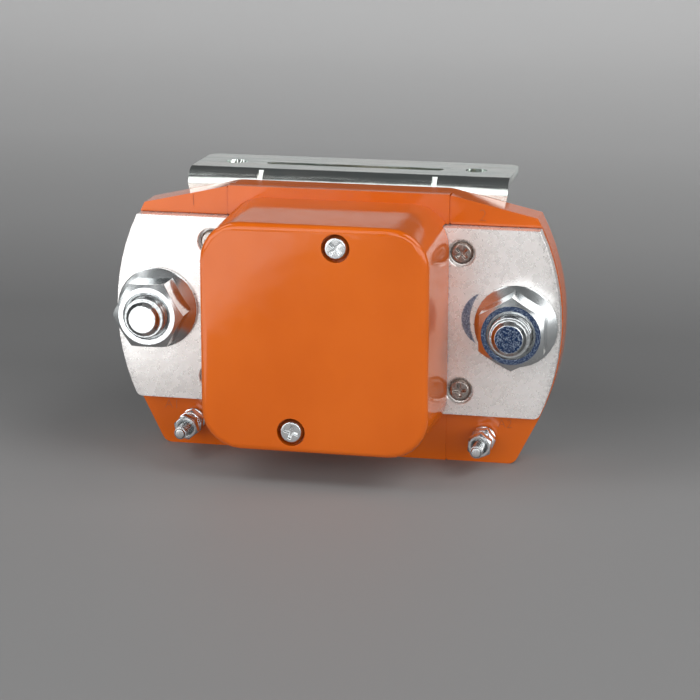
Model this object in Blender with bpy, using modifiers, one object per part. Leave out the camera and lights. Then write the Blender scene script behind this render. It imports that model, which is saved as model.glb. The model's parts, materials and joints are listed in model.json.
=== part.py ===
"""High voltage dc contactor with M10 terminals and a folded mounting bracket.

Metres, +Z up, front towards -Y. Places inside this file are measured from the datum: the
front face of the contact base at the height of the terminal studs. The datum is an empty
that puts the origin of the model under the middle of the whole contactor.
"""

import math

import bmesh
import bpy

# Clearances
SEAT_GAP = 0.0003
RUNNING_GAP = 0.0002
SCREW_GAP = 0.0003

# Contact base
BASE_DEPTH = 0.0088
BASE_TOP = 0.0305
BASE_BOTTOM = 0.03575
BASE_END_RADIUS = 0.0552
END_ARC_DROP = 0.00065
CROWN_HALF_WIDTH = 0.0265
CROWN_BLEND = 0.010
END_TOP = 0.0255
END_BOTTOM = 0.0235
FOOT_HALF_WIDTH = 0.0442
FOOT_CORNER = 0.0025
BASE_EDGE_ROUND = 0.0006

# Arc cover
COVER_HALF_WIDTH = 0.0272
COVER_TOP = 0.02705
COVER_BOTTOM = 0.0278
COVER_HEIGHT = 0.0279
COVER_WALL = 0.0025
COVER_CORNER = 0.0095
COVER_ROUND = 0.0013
COVER_DRAFT = 0.0009
FLANGE_HALF_WIDTH = 0.0273
FLANGE_THICKNESS = 0.0030
FLANGE_PROUD = 0.0003
BOSS_RADIUS = 0.0040

# Terminals
STUD_SPACING = 0.08894
PLATE_THICKNESS = 0.0040
PLATE_PROUD = 0.0035
PLATE_HALF_HEIGHT = 0.0231
PLATE_EDGE_SETBACK = 0.0002
PLATE_FOOT_ROUND = 0.0018
PLATE_EDGE_ROUND = 0.00025
TONGUE_HALF_HEIGHT = 0.0080
TONGUE_INNER = 0.0065
STUD_RADIUS = 0.0050
STUD_CHAMFER = 0.0017
STUD_BEYOND_NUT = 0.0038
STUD_HEAD_FLATS = 0.0150
STUD_HEAD_HEIGHT = 0.0045
NUT_FLATS = 0.0155
NUT_HEIGHT = 0.0100
NUT_TOP_RADIUS = 0.0071
NUT_FLANGE_RADIUS = 0.01007
NUT_RIM = 0.0011
NUT_SKIRT = 0.0026
NUT_LEFT_TURN = 28.5
NUT_RIGHT_TURN = 0.0

# Screws with cross recess
SCREW_RADIUS = 0.0015
PLATE_SCREW_ACROSS = 0.0309
PLATE_SCREW_HEIGHT = 0.0170
PLATE_SCREW_HEAD_RADIUS = 0.0028
PLATE_SCREW_HEAD_HEIGHT = 0.0017
PLATE_SCREW_RECESS_RADIUS = 0.0033
RECESS_CHAMFER = 0.0002
PLATE_SCREW_LENGTH = 0.0075
COVER_SCREW_ACROSS = 0.0053
COVER_SCREW_REACH = 0.02235
COVER_SCREW_HEAD_RADIUS = 0.0030
COVER_SCREW_HEAD_HEIGHT = 0.0019
COVER_SCREW_RECESS_RADIUS = 0.0034
COVER_SCREW_BITE = 0.0050
CROSS_WIDTH = 0.0007
CROSS_DEPTH = 0.0009

# Coil connections
COIL_STUD_ACROSS = 0.0367
COIL_STUD_DROP = 0.0294
COIL_STUD_RADIUS = 0.0015
COIL_STUD_REACH = 0.0135
COIL_WASHER_RADIUS = 0.0030
COIL_WASHER_THICKNESS = 0.0007
COIL_SPRING_WASHER_THICKNESS = 0.0008
COIL_SPRING_WASHER_RADIUS = 0.0029
COIL_NUT_FLATS = 0.0055
COIL_NUT_HEIGHT = 0.0022
COIL_HEAD_HEIGHT = 0.0020

# Mounting bracket
SHEET_THICKNESS = 0.0020
BEND_INNER_RADIUS = 0.0020
BRACKET_HALF_WIDTH = 0.0400
BRACKET_BACK = 0.0315
BRACKET_BACK_ROUND = 0.0030
BRACKET_FOOT = 0.0235
BRACKET_FOOT_HALF_WIDTH = 0.0270
MOUNT_HOLE_SPACING = 0.0610
MOUNT_HOLE_SETBACK = 0.0211
MOUNT_HOLE_RADIUS = 0.0027
SLOT_HALF_LENGTH = 0.0225
SLOT_WIDTH = 0.0032
SLOT_SETBACK = 0.0204
DART_ACROSS = 0.0218
DART_WIDTH = 0.0013
DART_REACH = 0.0026
DART_DROP = 0.0060

# Magnet frame
POLE_PLATE_THICKNESS = 0.0040
POLE_PLATE_BORDER = 0.0020
POLE_PLATE_FOOT = 0.0250
YOKE_THICKNESS = 0.0040
YOKE_TOP = 0.0255
YOKE_INNER_HALF_WIDTH = 0.0240
YOKE_BEND_RADIUS = 0.0010
TENON_HEIGHT = 0.0120
TENON_UPPER = 0.0140
TENON_LOWER = 0.0130
FRAME_SCREW_ACROSS = 0.0170
FRAME_SCREW_HEIGHT = 0.0180
FRAME_SCREW_RADIUS = 0.0020
FRAME_SCREW_HEAD_RADIUS = 0.0035
FRAME_SCREW_HEAD_HEIGHT = 0.0024

# Coil
BOBBIN_LENGTH = 0.0360
BOBBIN_FLANGE = 0.0015
BOBBIN_TUBE_WALL = 0.0012
BOBBIN_HALF_WIDTH = 0.0234
BOBBIN_TOP = 0.0245
BOBBIN_CORNER = 0.0040
WINDING_RADIUS = 0.0215
WRAP_THICKNESS = 0.0006
TAG_THICKNESS = 0.0008
TAG_WIDTH = 0.0050
TAG_INNER = 0.0150
TAG_OUTER = 0.0402
TAG_TAIL = 0.0020
TAG_SLOT_BORDER = 0.0021

# Armature
STROKE = 0.0030
POLE_RESIDUAL = 0.0003
PLUNGER_RADIUS = 0.0080
PLUNGER_LENGTH = 0.0214
PLUNGER_STANDOFF = 0.0008
SLEEVE_WALL = 0.0006
CORE_SPIGOT_RADIUS = 0.0050
CORE_HEAD_RADIUS = 0.0068
CORE_HEAD_HEIGHT = 0.0012
ROD_RADIUS = 0.0020
ROD_DEPTH_IN_PLUNGER = 0.0060
ROD_TO_COVER = 0.0011
ROD_NOSE = 0.0010
ROD_COLLAR_RADIUS = 0.0040
ROD_COLLAR_THICKNESS = 0.0012
ROD_GROOVE_DEPTH = 0.0005
BUSH_WALL = 0.0018
BUSH_FLANGE_RADIUS = 0.0055
BUSH_FLANGE_THICKNESS = 0.0012
CLIP_RADIUS = 0.0036
CLIP_THICKNESS = 0.0008
CUP_RADIUS = 0.0054
CUP_THICKNESS = 0.0008

# Contacts
CONTACT_GAP = 0.0023
TIP_SIZE = 0.0080
TIP_THICKNESS = 0.0015
TIP_ACROSS = 0.0110
BRIDGE_HALF_LENGTH = 0.0160
BRIDGE_HALF_HEIGHT = 0.0060
BRIDGE_THICKNESS = 0.0030

# Springs
RETURN_SPRING_RADIUS = 0.0035
RETURN_SPRING_WIRE = 0.0008
RETURN_SPRING_TURNS = 7
SPRING_POCKET_RADIUS = 0.0045
SPRING_POCKET_DEPTH = 0.0070
CONTACT_SPRING_RADIUS = 0.0034
CONTACT_SPRING_WIRE = 0.0009
CONTACT_SPRING_TURNS = 4.5
CLOSED_TURN = 0.75
CLOSED_PITCH = 1.02

# Blow-out magnets
MAGNET_HALF_LENGTH = 0.0140
MAGNET_DEPTH = 0.0120
MAGNET_THICKNESS = 0.0040
MAGNET_INNER = 0.0125
RAIL_WIDTH = 0.0050
RAIL_HOLD = 0.0018
RAIL_LIP = 0.0016

# Steps round a full turn
FINE_STEPS = 32
MIDDLE_STEPS = 20
SMALL_STEPS = 16
HIDDEN_STEPS = 10
END_ARC_STEPS = 12
SPRING_STEPS = 10

# Places that follow from the sizes above, measured back from the base's front face
CUT_MARGIN = 0.0010
PLATE_FRONT = -PLATE_PROUD
PLATE_BACK = PLATE_THICKNESS - PLATE_PROUD
RECESS_FLOOR = PLATE_BACK + SEAT_GAP
CHANNEL_FLOOR = FLANGE_THICKNESS + SEAT_GAP
COVER_FRONT = -COVER_HEIGHT
COVER_CEILING = COVER_FRONT + COVER_WALL
CAVITY_HALF_WIDTH = COVER_HALF_WIDTH - COVER_WALL
PLATE_SHOULDER = CAVITY_HALF_WIDTH - SEAT_GAP
COVER_MIDDLE = (COVER_TOP - COVER_BOTTOM) / 2
BRACKET_FRONT = BASE_DEPTH + SEAT_GAP
BEND_OUTER_RADIUS = BEND_INNER_RADIUS + SHEET_THICKNESS
BRACKET_TOP = BASE_TOP + SEAT_GAP + SHEET_THICKNESS
SHELF_UNDERSIDE = BRACKET_TOP - SHEET_THICKNESS
POLE_PLATE_FRONT = BRACKET_FRONT + SHEET_THICKNESS + SEAT_GAP
POLE_PLATE_BACK = POLE_PLATE_FRONT + POLE_PLATE_THICKNESS
BOBBIN_FRONT = POLE_PLATE_BACK + SEAT_GAP
BOBBIN_BACK = BOBBIN_FRONT + BOBBIN_LENGTH
BOBBIN_FOOT = COIL_STUD_DROP + TAG_WIDTH / 2 + TAG_SLOT_BORDER
WEB_FRONT = BOBBIN_BACK + SEAT_GAP
WEB_BACK = WEB_FRONT + YOKE_THICKNESS
CORE_BACK = WEB_BACK + SEAT_GAP + CORE_HEAD_HEIGHT
YOKE_HALF_WIDTH = YOKE_INNER_HALF_WIDTH + YOKE_THICKNESS
POLE_PLATE_HALF_WIDTH = YOKE_HALF_WIDTH + POLE_PLATE_BORDER
SLEEVE_INNER_RADIUS = PLUNGER_RADIUS + RUNNING_GAP
SLEEVE_RADIUS = SLEEVE_INNER_RADIUS + SLEEVE_WALL
BOBBIN_BORE_RADIUS = SLEEVE_RADIUS + SEAT_GAP
BOBBIN_TUBE_RADIUS = BOBBIN_BORE_RADIUS + BOBBIN_TUBE_WALL
PLUNGER_FRONT = BASE_DEPTH + PLUNGER_STANDOFF
PLUNGER_BACK = PLUNGER_FRONT + PLUNGER_LENGTH
CORE_FRONT = PLUNGER_BACK + STROKE + POLE_RESIDUAL
ROD_FRONT = COVER_CEILING + ROD_TO_COVER
ROD_BACK = PLUNGER_FRONT + ROD_DEPTH_IN_PLUNGER
CLIP_FRONT = ROD_FRONT + ROD_NOSE
CUP_FRONT = CLIP_FRONT + CLIP_THICKNESS + SEAT_GAP
CUP_BACK = CUP_FRONT + CUP_THICKNESS
FIXED_TIP_FRONT = PLATE_FRONT - SEAT_GAP - TIP_THICKNESS
MOVING_TIP_BACK = FIXED_TIP_FRONT - CONTACT_GAP
MOVING_TIP_FRONT = MOVING_TIP_BACK - TIP_THICKNESS
BRIDGE_BACK = MOVING_TIP_FRONT - SEAT_GAP
BRIDGE_FRONT = BRIDGE_BACK - BRIDGE_THICKNESS
COLLAR_FRONT = BRIDGE_BACK + SEAT_GAP
BUSH_RADIUS = ROD_RADIUS + RUNNING_GAP + BUSH_WALL
MAGNET_FRONT = COVER_CEILING + SEAT_GAP
STUD_X = STUD_SPACING / 2
NUT_SEAT = PLATE_FRONT - SEAT_GAP
NUT_FRONT = NUT_SEAT - NUT_HEIGHT
STUD_FRONT = NUT_FRONT - STUD_BEYOND_NUT
STUD_POCKET_FLOOR = BASE_DEPTH - STUD_HEAD_HEIGHT - 2 * SEAT_GAP
OVERALL_FRONT = COVER_FRONT
OVERALL_BACK = CORE_BACK


def start_scene():
    """Clears the scene and makes the collections and the datum."""
    for obj in list(bpy.data.objects):
        bpy.data.objects.remove(obj, do_unlink=True)
    for name in ("high_voltage_contactor", "cutters"):
        bpy.context.scene.collection.children.link(bpy.data.collections.new(name))
    return empty("contactor_datum", (0, -(OVERALL_FRONT + OVERALL_BACK) / 2, BASE_BOTTOM), None)


def empty(name, place, parent):
    """An empty that carries a group of pieces."""
    obj = bpy.data.objects.new(name, None)
    bpy.data.collections["high_voltage_contactor"].objects.link(obj)
    obj.location = place
    obj.parent = parent
    return obj


def material(name, colour, metallic, roughness):
    """A Principled BSDF with one colour."""
    finish = bpy.data.materials.new(name)
    finish.use_nodes = True
    finish.diffuse_color = (*colour, 1)
    shader = finish.node_tree.nodes["Principled BSDF"]
    shader.inputs["Base Color"].default_value = (*colour, 1)
    shader.inputs["Metallic"].default_value = metallic
    shader.inputs["Roughness"].default_value = roughness
    return finish


def settle(obj, parent, finish=None):
    """Puts a piece in the object's collection, under its carrier and with its material."""
    bpy.data.collections["high_voltage_contactor"].objects.link(obj)
    obj.parent = parent
    if finish and not obj.data.materials:
        obj.data.materials.append(finish)
    obj.data.shade_smooth()
    obj.data.set_sharp_from_angle(angle=math.radians(30))
    return obj


def as_mesh(guide, in_place=False):
    """The evaluated shape of a guide object as a welded mesh; the guide is removed."""
    bpy.context.scene.collection.objects.link(guide)
    graph = bpy.context.evaluated_depsgraph_get()
    evaluated = guide.evaluated_get(graph)
    mesh = bpy.data.meshes.new_from_object(evaluated)
    mesh.name = guide.name
    if in_place:
        mesh.transform(evaluated.matrix_world)
    shape = bmesh.new()
    shape.from_mesh(mesh)
    bmesh.ops.remove_doubles(shape, verts=shape.verts, dist=1e-6)
    bmesh.ops.recalc_face_normals(shape, faces=shape.faces)
    shape.to_mesh(mesh)
    shape.free()
    bpy.data.objects.remove(guide, do_unlink=True)
    return mesh


def baked(obj, finish, helpers=()):
    """The mesh of an object with its modifiers and place applied; its helpers go."""
    mesh = as_mesh(obj, in_place=True)
    for helper in helpers:
        bpy.data.objects.remove(helper, do_unlink=True)
    mesh.materials.append(finish)
    return mesh


def arc(across, up, radius, start, end, steps):
    """Points of an arc in degrees, anticlockwise when end is above start."""
    turns = [math.radians(start + (end - start) * step / steps) for step in range(steps + 1)]
    return [(across + radius * math.cos(turn), up + radius * math.sin(turn)) for turn in turns]


def circle(across, up, radius, steps=MIDDLE_STEPS):
    """Points of a full circle."""
    return arc(across, up, radius, 0, 360 - 360 / steps, steps - 1)


def rectangle(low_across, low_up, high_across, high_up, corner=0.0, steps=6):
    """Points of a rectangle, anticlockwise, with round corners where a radius is given."""
    if not corner:
        return [
            (low_across, low_up),
            (high_across, low_up),
            (high_across, high_up),
            (low_across, high_up),
        ]
    left, right = low_across + corner, high_across - corner
    foot, head = low_up + corner, high_up - corner
    return (
        arc(right, foot, corner, -90, 0, steps)
        + arc(right, head, corner, 0, 90, steps)
        + arc(left, head, corner, 90, 180, steps)
        + arc(left, foot, corner, 180, 270, steps)
    )


def fillet(outline, index, radius, steps=4):
    """The outline with the corner at index rounded."""
    corner = outline[index]
    before = outline[index - 1]
    after = outline[(index + 1) % len(outline)]
    legs = []
    for other in (before, after):
        span = math.dist(corner, other)
        legs.append(((other[0] - corner[0]) / span, (other[1] - corner[1]) / span))
    cosine = legs[0][0] * legs[1][0] + legs[0][1] * legs[1][1]
    half = math.acos(max(-1.0, min(1.0, cosine))) / 2
    reach = radius / math.tan(half)
    middle = ((legs[0][0] + legs[1][0]) / 2, (legs[0][1] + legs[1][1]) / 2)
    middle_length = math.hypot(*middle)
    centre = tuple(
        corner[axis] + middle[axis] / middle_length * radius / math.sin(half) for axis in (0, 1)
    )
    ends = [tuple(corner[axis] + leg[axis] * reach for axis in (0, 1)) for leg in legs]
    first = math.atan2(ends[0][1] - centre[1], ends[0][0] - centre[0])
    last = math.atan2(ends[1][1] - centre[1], ends[1][0] - centre[0])
    swing = (last - first + math.pi) % (2 * math.pi) - math.pi
    start = math.degrees(first)
    round_points = arc(*centre, radius, start, start + math.degrees(swing), steps)
    return outline[:index] + round_points + outline[index + 1 :]


def mirrored(outline):
    """The outline of the right hand piece turned into that of the left hand one."""
    return [(-across, up) for across, up in reversed(outline)]


AXIS_TURNS = {
    "X": (math.pi / 2, 0, math.pi / 2),
    "Y": (math.pi / 2, 0, 0),
    "Z": (0, 0, 0),
}


def extruded(name, outline, axis, start, end, holes=()):
    """A flat outline given depth along an axis. Its points are the other two axes in order."""
    curve = bpy.data.curves.new(name, "CURVE")
    curve.dimensions = "2D"
    curve.fill_mode = "BOTH"
    curve.extrude = (end - start) / 2
    for loop in (outline, *holes):
        spline = curve.splines.new("POLY")
        spline.points.add(len(loop) - 1)
        for point, (across, up) in zip(spline.points, loop):
            point.co = (across, up, 0, 1)
        spline.use_cyclic_u = True
    mesh = as_mesh(bpy.data.objects.new(name, curve))
    bpy.data.curves.remove(curve)
    obj = bpy.data.objects.new(name, mesh)
    obj.rotation_euler = AXIS_TURNS[axis]
    obj.location["XYZ".index(axis)] = (start + end) / 2
    return obj


def block(name, low, high):
    """A box between two corners."""
    mesh = bpy.data.meshes.new(name)
    shape = bmesh.new()
    bmesh.ops.create_cube(shape, size=1)
    size = [high[axis] - low[axis] for axis in range(3)]
    bmesh.ops.scale(shape, vec=size, verts=shape.verts)
    shape.to_mesh(mesh)
    shape.free()
    obj = bpy.data.objects.new(name, mesh)
    obj.location = [(high[axis] + low[axis]) / 2 for axis in range(3)]
    return obj


def turned(name, profile, place=(0, 0, 0), steps=MIDDLE_STEPS, ring=False):
    """A turned piece. The profile is (radius, depth) from its front, down its outer side."""
    mesh = bpy.data.meshes.new(name)
    shape = bmesh.new()
    points = [shape.verts.new((radius, 0, -depth)) for radius, depth in profile]
    for first, second in zip(points, points[1:]):
        shape.edges.new((first, second))
    if ring:
        shape.edges.new((points[-1], points[0]))
    shape.to_mesh(mesh)
    shape.free()
    obj = bpy.data.objects.new(name, mesh)
    screw = obj.modifiers.new("turn", "SCREW")
    screw.steps = steps
    screw.render_steps = steps
    screw.use_merge_vertices = True
    screw.merge_threshold = 0.00001
    obj.rotation_euler.x = math.pi / 2
    obj.location = place
    return obj


def tube_profile(inner, outer, length):
    """The closed profile of a plain ring."""
    return [(outer, 0), (outer, length), (inner, length), (inner, 0)]


def cutter(obj):
    """Makes an object a hidden helper."""
    bpy.data.collections["cutters"].objects.link(obj)
    obj.hide_render = True
    obj.display_type = "WIRE"
    return obj


def join(obj, helper, operation):
    """Adds a Boolean with a helper that shares the object's carrier."""
    helper.parent = obj.parent
    modifier = obj.modifiers.new(helper.name, "BOOLEAN")
    modifier.operation = operation
    modifier.object = cutter(helper)
    modifier.solver = "MANIFOLD"


def cut(obj, helper):
    """Takes the helper's shape away."""
    join(obj, helper, "DIFFERENCE")


def add(obj, helper):
    """Adds the helper's shape."""
    join(obj, helper, "UNION")


def bevel(obj, width, segments=2):
    """Rounds the edges that are sharper than 40 degrees."""
    modifier = obj.modifiers.new("edges", "BEVEL")
    modifier.width = width
    modifier.segments = segments
    modifier.limit_method = "ANGLE"
    modifier.angle_limit = math.radians(40)


def hole(name, across, up, radius, start, end, steps=HIDDEN_STEPS):
    """A round cutter along Y."""
    return turned(
        name,
        [(0, 0), (radius, 0), (radius, end - start), (0, end - start)],
        (across, start, up),
        steps,
    )


def sunk_hole(name, across, up, front, head_radius, floor, radius, end, steps=SMALL_STEPS, chamfer=0.0):
    """A round cutter along Y with a wider mouth for a screw head, CUT_MARGIN before the face."""
    mouth = [(0, 0), (head_radius, 0)]
    if chamfer:
        lead = CUT_MARGIN + chamfer
        mouth = [(0, 0), (head_radius + lead, 0), (head_radius, lead)]
    return turned(
        name,
        mouth
        + [
            (head_radius, floor - front),
            (radius, floor - front),
            (radius, end - front),
            (0, end - front),
        ],
        (across, front, up),
        steps,
    )


def hexagon(flats, turn=90.0):
    """The corners of a hexagon with its first corner at the turn."""
    radius = flats / math.sqrt(3)
    return [
        (
            radius * math.cos(math.radians(turn + 60 * side)),
            radius * math.sin(math.radians(turn + 60 * side)),
        )
        for side in range(6)
    ]


def hexagonal_mesh(name, finish, flats, height, top_radius, bore, steps, skirt=None):
    """A hexagonal nut, front face at the origin, with a chamfered front and an open bore."""
    corner = flats / math.sqrt(3)
    chamfer = (corner - top_radius) * math.tan(math.radians(30))
    nut = extruded(name, hexagon(flats), "Y", 0, height)
    bound = turned(
        name + "_chamfer",
        [
            (0, -CUT_MARGIN),
            (top_radius - CUT_MARGIN / math.tan(math.radians(30)), -CUT_MARGIN),
            (corner + CUT_MARGIN, chamfer + CUT_MARGIN * math.tan(math.radians(30))),
            (corner + CUT_MARGIN, height + CUT_MARGIN),
            (0, height + CUT_MARGIN),
        ],
        steps=steps,
    )
    join(nut, bound, "INTERSECT")
    helpers = [bound]
    if skirt:
        rim_radius, rim_height, skirt_height = skirt
        inner = flats / 2 - CUT_MARGIN
        skirt_disc = turned(
            name + "_skirt",
            [
                (0, height - skirt_height),
                (inner, height - skirt_height),
                (flats / 2, height - skirt_height + CUT_MARGIN / 4),
                (rim_radius - rim_height / 4, height - rim_height),
                (rim_radius, height - rim_height * 3 / 4),
                (rim_radius, height),
                (0, height),
            ],
            steps=steps,
        )
        add(nut, skirt_disc)
        helpers.append(skirt_disc)
    countersink = SCREW_GAP + bore / 16
    opening = turned(
        name + "_bore",
        [
            (0, -CUT_MARGIN),
            (bore + countersink + CUT_MARGIN, -CUT_MARGIN),
            (bore, countersink),
            (bore, height + CUT_MARGIN),
            (0, height + CUT_MARGIN),
        ],
        steps=steps // 2 + 4,
    )
    cut(nut, opening)
    helpers.append(opening)
    return baked(nut, finish, helpers)


def cross_screw_mesh(name, finish, head_radius, head_height, shank_radius, length, steps=SMALL_STEPS):
    """A pan head screw with a cross recess, front of the head at the origin."""
    crown = head_height * 0.45
    screw = turned(
        name,
        [
            (0, 0),
            (head_radius * 0.80, 0),
            (head_radius, crown),
            (head_radius, head_height),
            (shank_radius, head_height),
            (shank_radius, length),
            (0, length),
        ],
        steps=steps,
    )
    helpers = []
    for across, up in ((1, 0), (0, 1)):
        half = (
            CROSS_WIDTH / 2 + across * (head_radius * 0.56 - CROSS_WIDTH / 2),
            CROSS_WIDTH / 2 + up * (head_radius * 0.56 - CROSS_WIDTH / 2),
        )
        arm = block(
            name + "_cross",
            (-half[0], -CUT_MARGIN, -half[1]),
            (half[0], CROSS_DEPTH, half[1]),
        )
        cut(screw, arm)
        helpers.append(arm)
    return baked(screw, finish, helpers)


def placed(name, mesh, place, parent, turn=0.0):
    """A piece that shares a mesh modelled with its front at the origin, towards -Y."""
    obj = bpy.data.objects.new(name, mesh)
    obj.rotation_euler = (0, math.radians(turn), 0)
    obj.location = place
    return settle(obj, parent)


def coil_spring(name, radius, wire, turns, start, end, parent, finish):
    """A compression spring along Y between two seats, with closed end turns."""
    steps = int(turns * SPRING_STEPS)
    low, high = start + wire / 2, end - wire / 2
    pitch = wire * CLOSED_PITCH
    curve = bpy.data.curves.new(name, "CURVE")
    curve.dimensions = "3D"
    curve.bevel_depth = wire / 2
    curve.bevel_resolution = 1
    curve.use_fill_caps = True
    spline = curve.splines.new("POLY")
    spline.points.add(steps)
    for step, point in enumerate(spline.points):
        turn = step / SPRING_STEPS
        share = min(max((turn - CLOSED_TURN) / (turns - 2 * CLOSED_TURN), 0), 1)
        closed = pitch * (min(turn, CLOSED_TURN) + max(turn - turns + CLOSED_TURN, 0))
        rise = low + closed + share * (high - low - 2 * pitch * CLOSED_TURN)
        angle = 2 * math.pi * turn
        point.co = (radius * math.cos(angle), rise, radius * math.sin(angle), 1)
    obj = bpy.data.objects.new(name, as_mesh(bpy.data.objects.new(name, curve)))
    bpy.data.curves.remove(curve)
    return settle(obj, parent, finish)


def end_arc(radius, start, end):
    """The right hand round end between two heights. Its centre lies just below the studs."""
    turns = [math.degrees(math.asin((up + END_ARC_DROP) / radius)) for up in (start, end)]
    return arc(0, -END_ARC_DROP, radius, *turns, END_ARC_STEPS)


def half_outline(radius):
    """The right half of the base's outline, from the crown's middle round to the foot."""
    side = end_arc(radius, END_TOP, -END_BOTTOM)
    crown = [(0, BASE_TOP), (CROWN_HALF_WIDTH, BASE_TOP), side[0]]
    crown = fillet(crown, 1, CROWN_BLEND)[:-1]
    outline = crown[1:] + side + [(FOOT_HALF_WIDTH, -BASE_BOTTOM), (0, -BASE_BOTTOM)]
    return fillet(outline, len(outline) - 2, FOOT_CORNER)[:-1]


def base_outline():
    """The whole outline of the contact base."""
    right = half_outline(BASE_END_RADIUS)
    return right + mirrored(right)


def plate_outline(grow=0.0):
    """The right hand terminal plate: a wide land with a round end, and a contact tongue."""
    radius = BASE_END_RADIUS - PLATE_EDGE_SETBACK
    top = PLATE_HALF_HEIGHT + grow
    end = end_arc(radius, -top, top)
    tongue = [
        (PLATE_SHOULDER - grow, top),
        (PLATE_SHOULDER - grow, TONGUE_HALF_HEIGHT),
        (TONGUE_INNER, TONGUE_HALF_HEIGHT),
        (TONGUE_INNER, -TONGUE_HALF_HEIGHT),
        (PLATE_SHOULDER - grow, -TONGUE_HALF_HEIGHT),
        (PLATE_SHOULDER - grow, -top),
    ]
    foot_span = math.dist(end[0], end[1])
    foot_round = min(PLATE_FOOT_ROUND, foot_span)
    return fillet(end + tongue, 0, foot_round)


def contact_base(parent, finish):
    """The moulded body that carries the terminals, the cover and the magnet."""
    base = extruded("contact_base", base_outline(), "Y", 0, BASE_DEPTH)
    settle(base, parent, finish)
    bevel(base, BASE_EDGE_ROUND)
    channel = FLANGE_HALF_WIDTH + SEAT_GAP
    beyond = BASE_END_RADIUS + CUT_MARGIN
    below, above = -BASE_BOTTOM - CUT_MARGIN, BASE_TOP + CUT_MARGIN
    cut(base, block("cover_channel", (-channel, -CUT_MARGIN, below), (channel, CHANNEL_FLOOR, above)))
    for side, name in ((-1, "left"), (1, "right")):
        ends = sorted((side * (channel - CUT_MARGIN), side * beyond))
        recess = PLATE_HALF_HEIGHT + SEAT_GAP
        cut(
            base,
            block(
                "plate_recess_" + name,
                (ends[0], -CUT_MARGIN, -recess),
                (ends[1], RECESS_FLOOR, recess),
            ),
        )
        land = sorted((side * (TONGUE_INNER + SEAT_GAP), side * (CAVITY_HALF_WIDTH - 2 * SEAT_GAP)))
        add(
            base,
            block(
                "tongue_land_" + name,
                (land[0], RECESS_FLOOR, -TONGUE_HALF_HEIGHT),
                (land[1], CHANNEL_FLOOR + CUT_MARGIN, TONGUE_HALF_HEIGHT),
            ),
        )
        stud_clear = STUD_RADIUS + SCREW_GAP
        back = BASE_DEPTH + CUT_MARGIN
        cut(base, hole("stud_hole_" + name, side * STUD_X, 0, stud_clear, -CUT_MARGIN, back))
        pocket = hexagon(STUD_HEAD_FLATS + 2 * SEAT_GAP)
        pocket = [(side * STUD_X + across, up) for across, up in pocket]
        cut(base, extruded("stud_pocket_" + name, pocket, "Y", STUD_POCKET_FLOOR, back))
        coil_clear = COIL_STUD_RADIUS + SCREW_GAP
        coil_x = side * COIL_STUD_ACROSS
        coil = hole("coil_hole_" + name, coil_x, -COIL_STUD_DROP, coil_clear, -CUT_MARGIN, back)
        cut(base, coil)
        for row, level in ((-1, "lower"), (1, "upper")):
            screw_end = PLATE_FRONT + PLATE_SCREW_LENGTH + SEAT_GAP
            cut(
                base,
                hole(
                    f"plate_screw_hole_{name}_{level}",
                    side * PLATE_SCREW_ACROSS,
                    row * PLATE_SCREW_HEIGHT,
                    SCREW_RADIUS + SCREW_GAP,
                    -CUT_MARGIN,
                    screw_end,
                ),
            )
            place = (side * FRAME_SCREW_ACROSS, row * FRAME_SCREW_HEIGHT)
            clear = FRAME_SCREW_RADIUS + SCREW_GAP
            head_clear = FRAME_SCREW_HEAD_RADIUS + SCREW_GAP
            floor = CHANNEL_FLOOR + FRAME_SCREW_HEAD_HEIGHT + SEAT_GAP
            sizes = (-CUT_MARGIN, head_clear, floor, clear, back)
            cut(base, sunk_hole(f"frame_screw_hole_{name}_{level}", *place, *sizes))
    for side, level in ((-1, "lower"), (1, "upper")):
        cut(
            base,
            hole(
                "cover_screw_hole_" + level,
                side * COVER_SCREW_ACROSS,
                COVER_MIDDLE + side * COVER_SCREW_REACH,
                SCREW_RADIUS + SCREW_GAP,
                -CUT_MARGIN,
                CHANNEL_FLOOR + COVER_SCREW_BITE,
            ),
        )
    cut(base, hole("bush_hole", 0, 0, BUSH_RADIUS + SEAT_GAP, -CUT_MARGIN, BASE_DEPTH + CUT_MARGIN))
    return base


def cover_box():
    """The round cornered box of the arc cover, wider at its foot, with a round front edge."""
    outline = rectangle(
        -COVER_HALF_WIDTH, -COVER_BOTTOM, COVER_HALF_WIDTH, COVER_TOP, COVER_CORNER, 7
    )
    box = extruded("arc_cover", outline, "Y", COVER_FRONT, RECESS_FLOOR / 2)
    shape = bmesh.new()
    shape.from_mesh(box.data)
    front = max(point.co.z for point in shape.verts)
    grow = 1 + COVER_DRAFT / COVER_HALF_WIDTH
    for point in shape.verts:
        if point.co.z < front - SEAT_GAP:
            point.co.x *= grow
            point.co.y = COVER_MIDDLE + (point.co.y - COVER_MIDDLE) * grow
    bmesh.ops.dissolve_limit(shape, angle_limit=0.01, verts=shape.verts, edges=shape.edges)
    rim = [
        edge
        for edge in shape.edges
        if all(point.co.z > front - SEAT_GAP for point in edge.verts)
    ]
    bmesh.ops.bevel(
        shape, geom=rim, offset=COVER_ROUND, segments=3, profile=0.5, affect="EDGES"
    )
    shape.to_mesh(box.data)
    shape.free()
    return box


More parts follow.
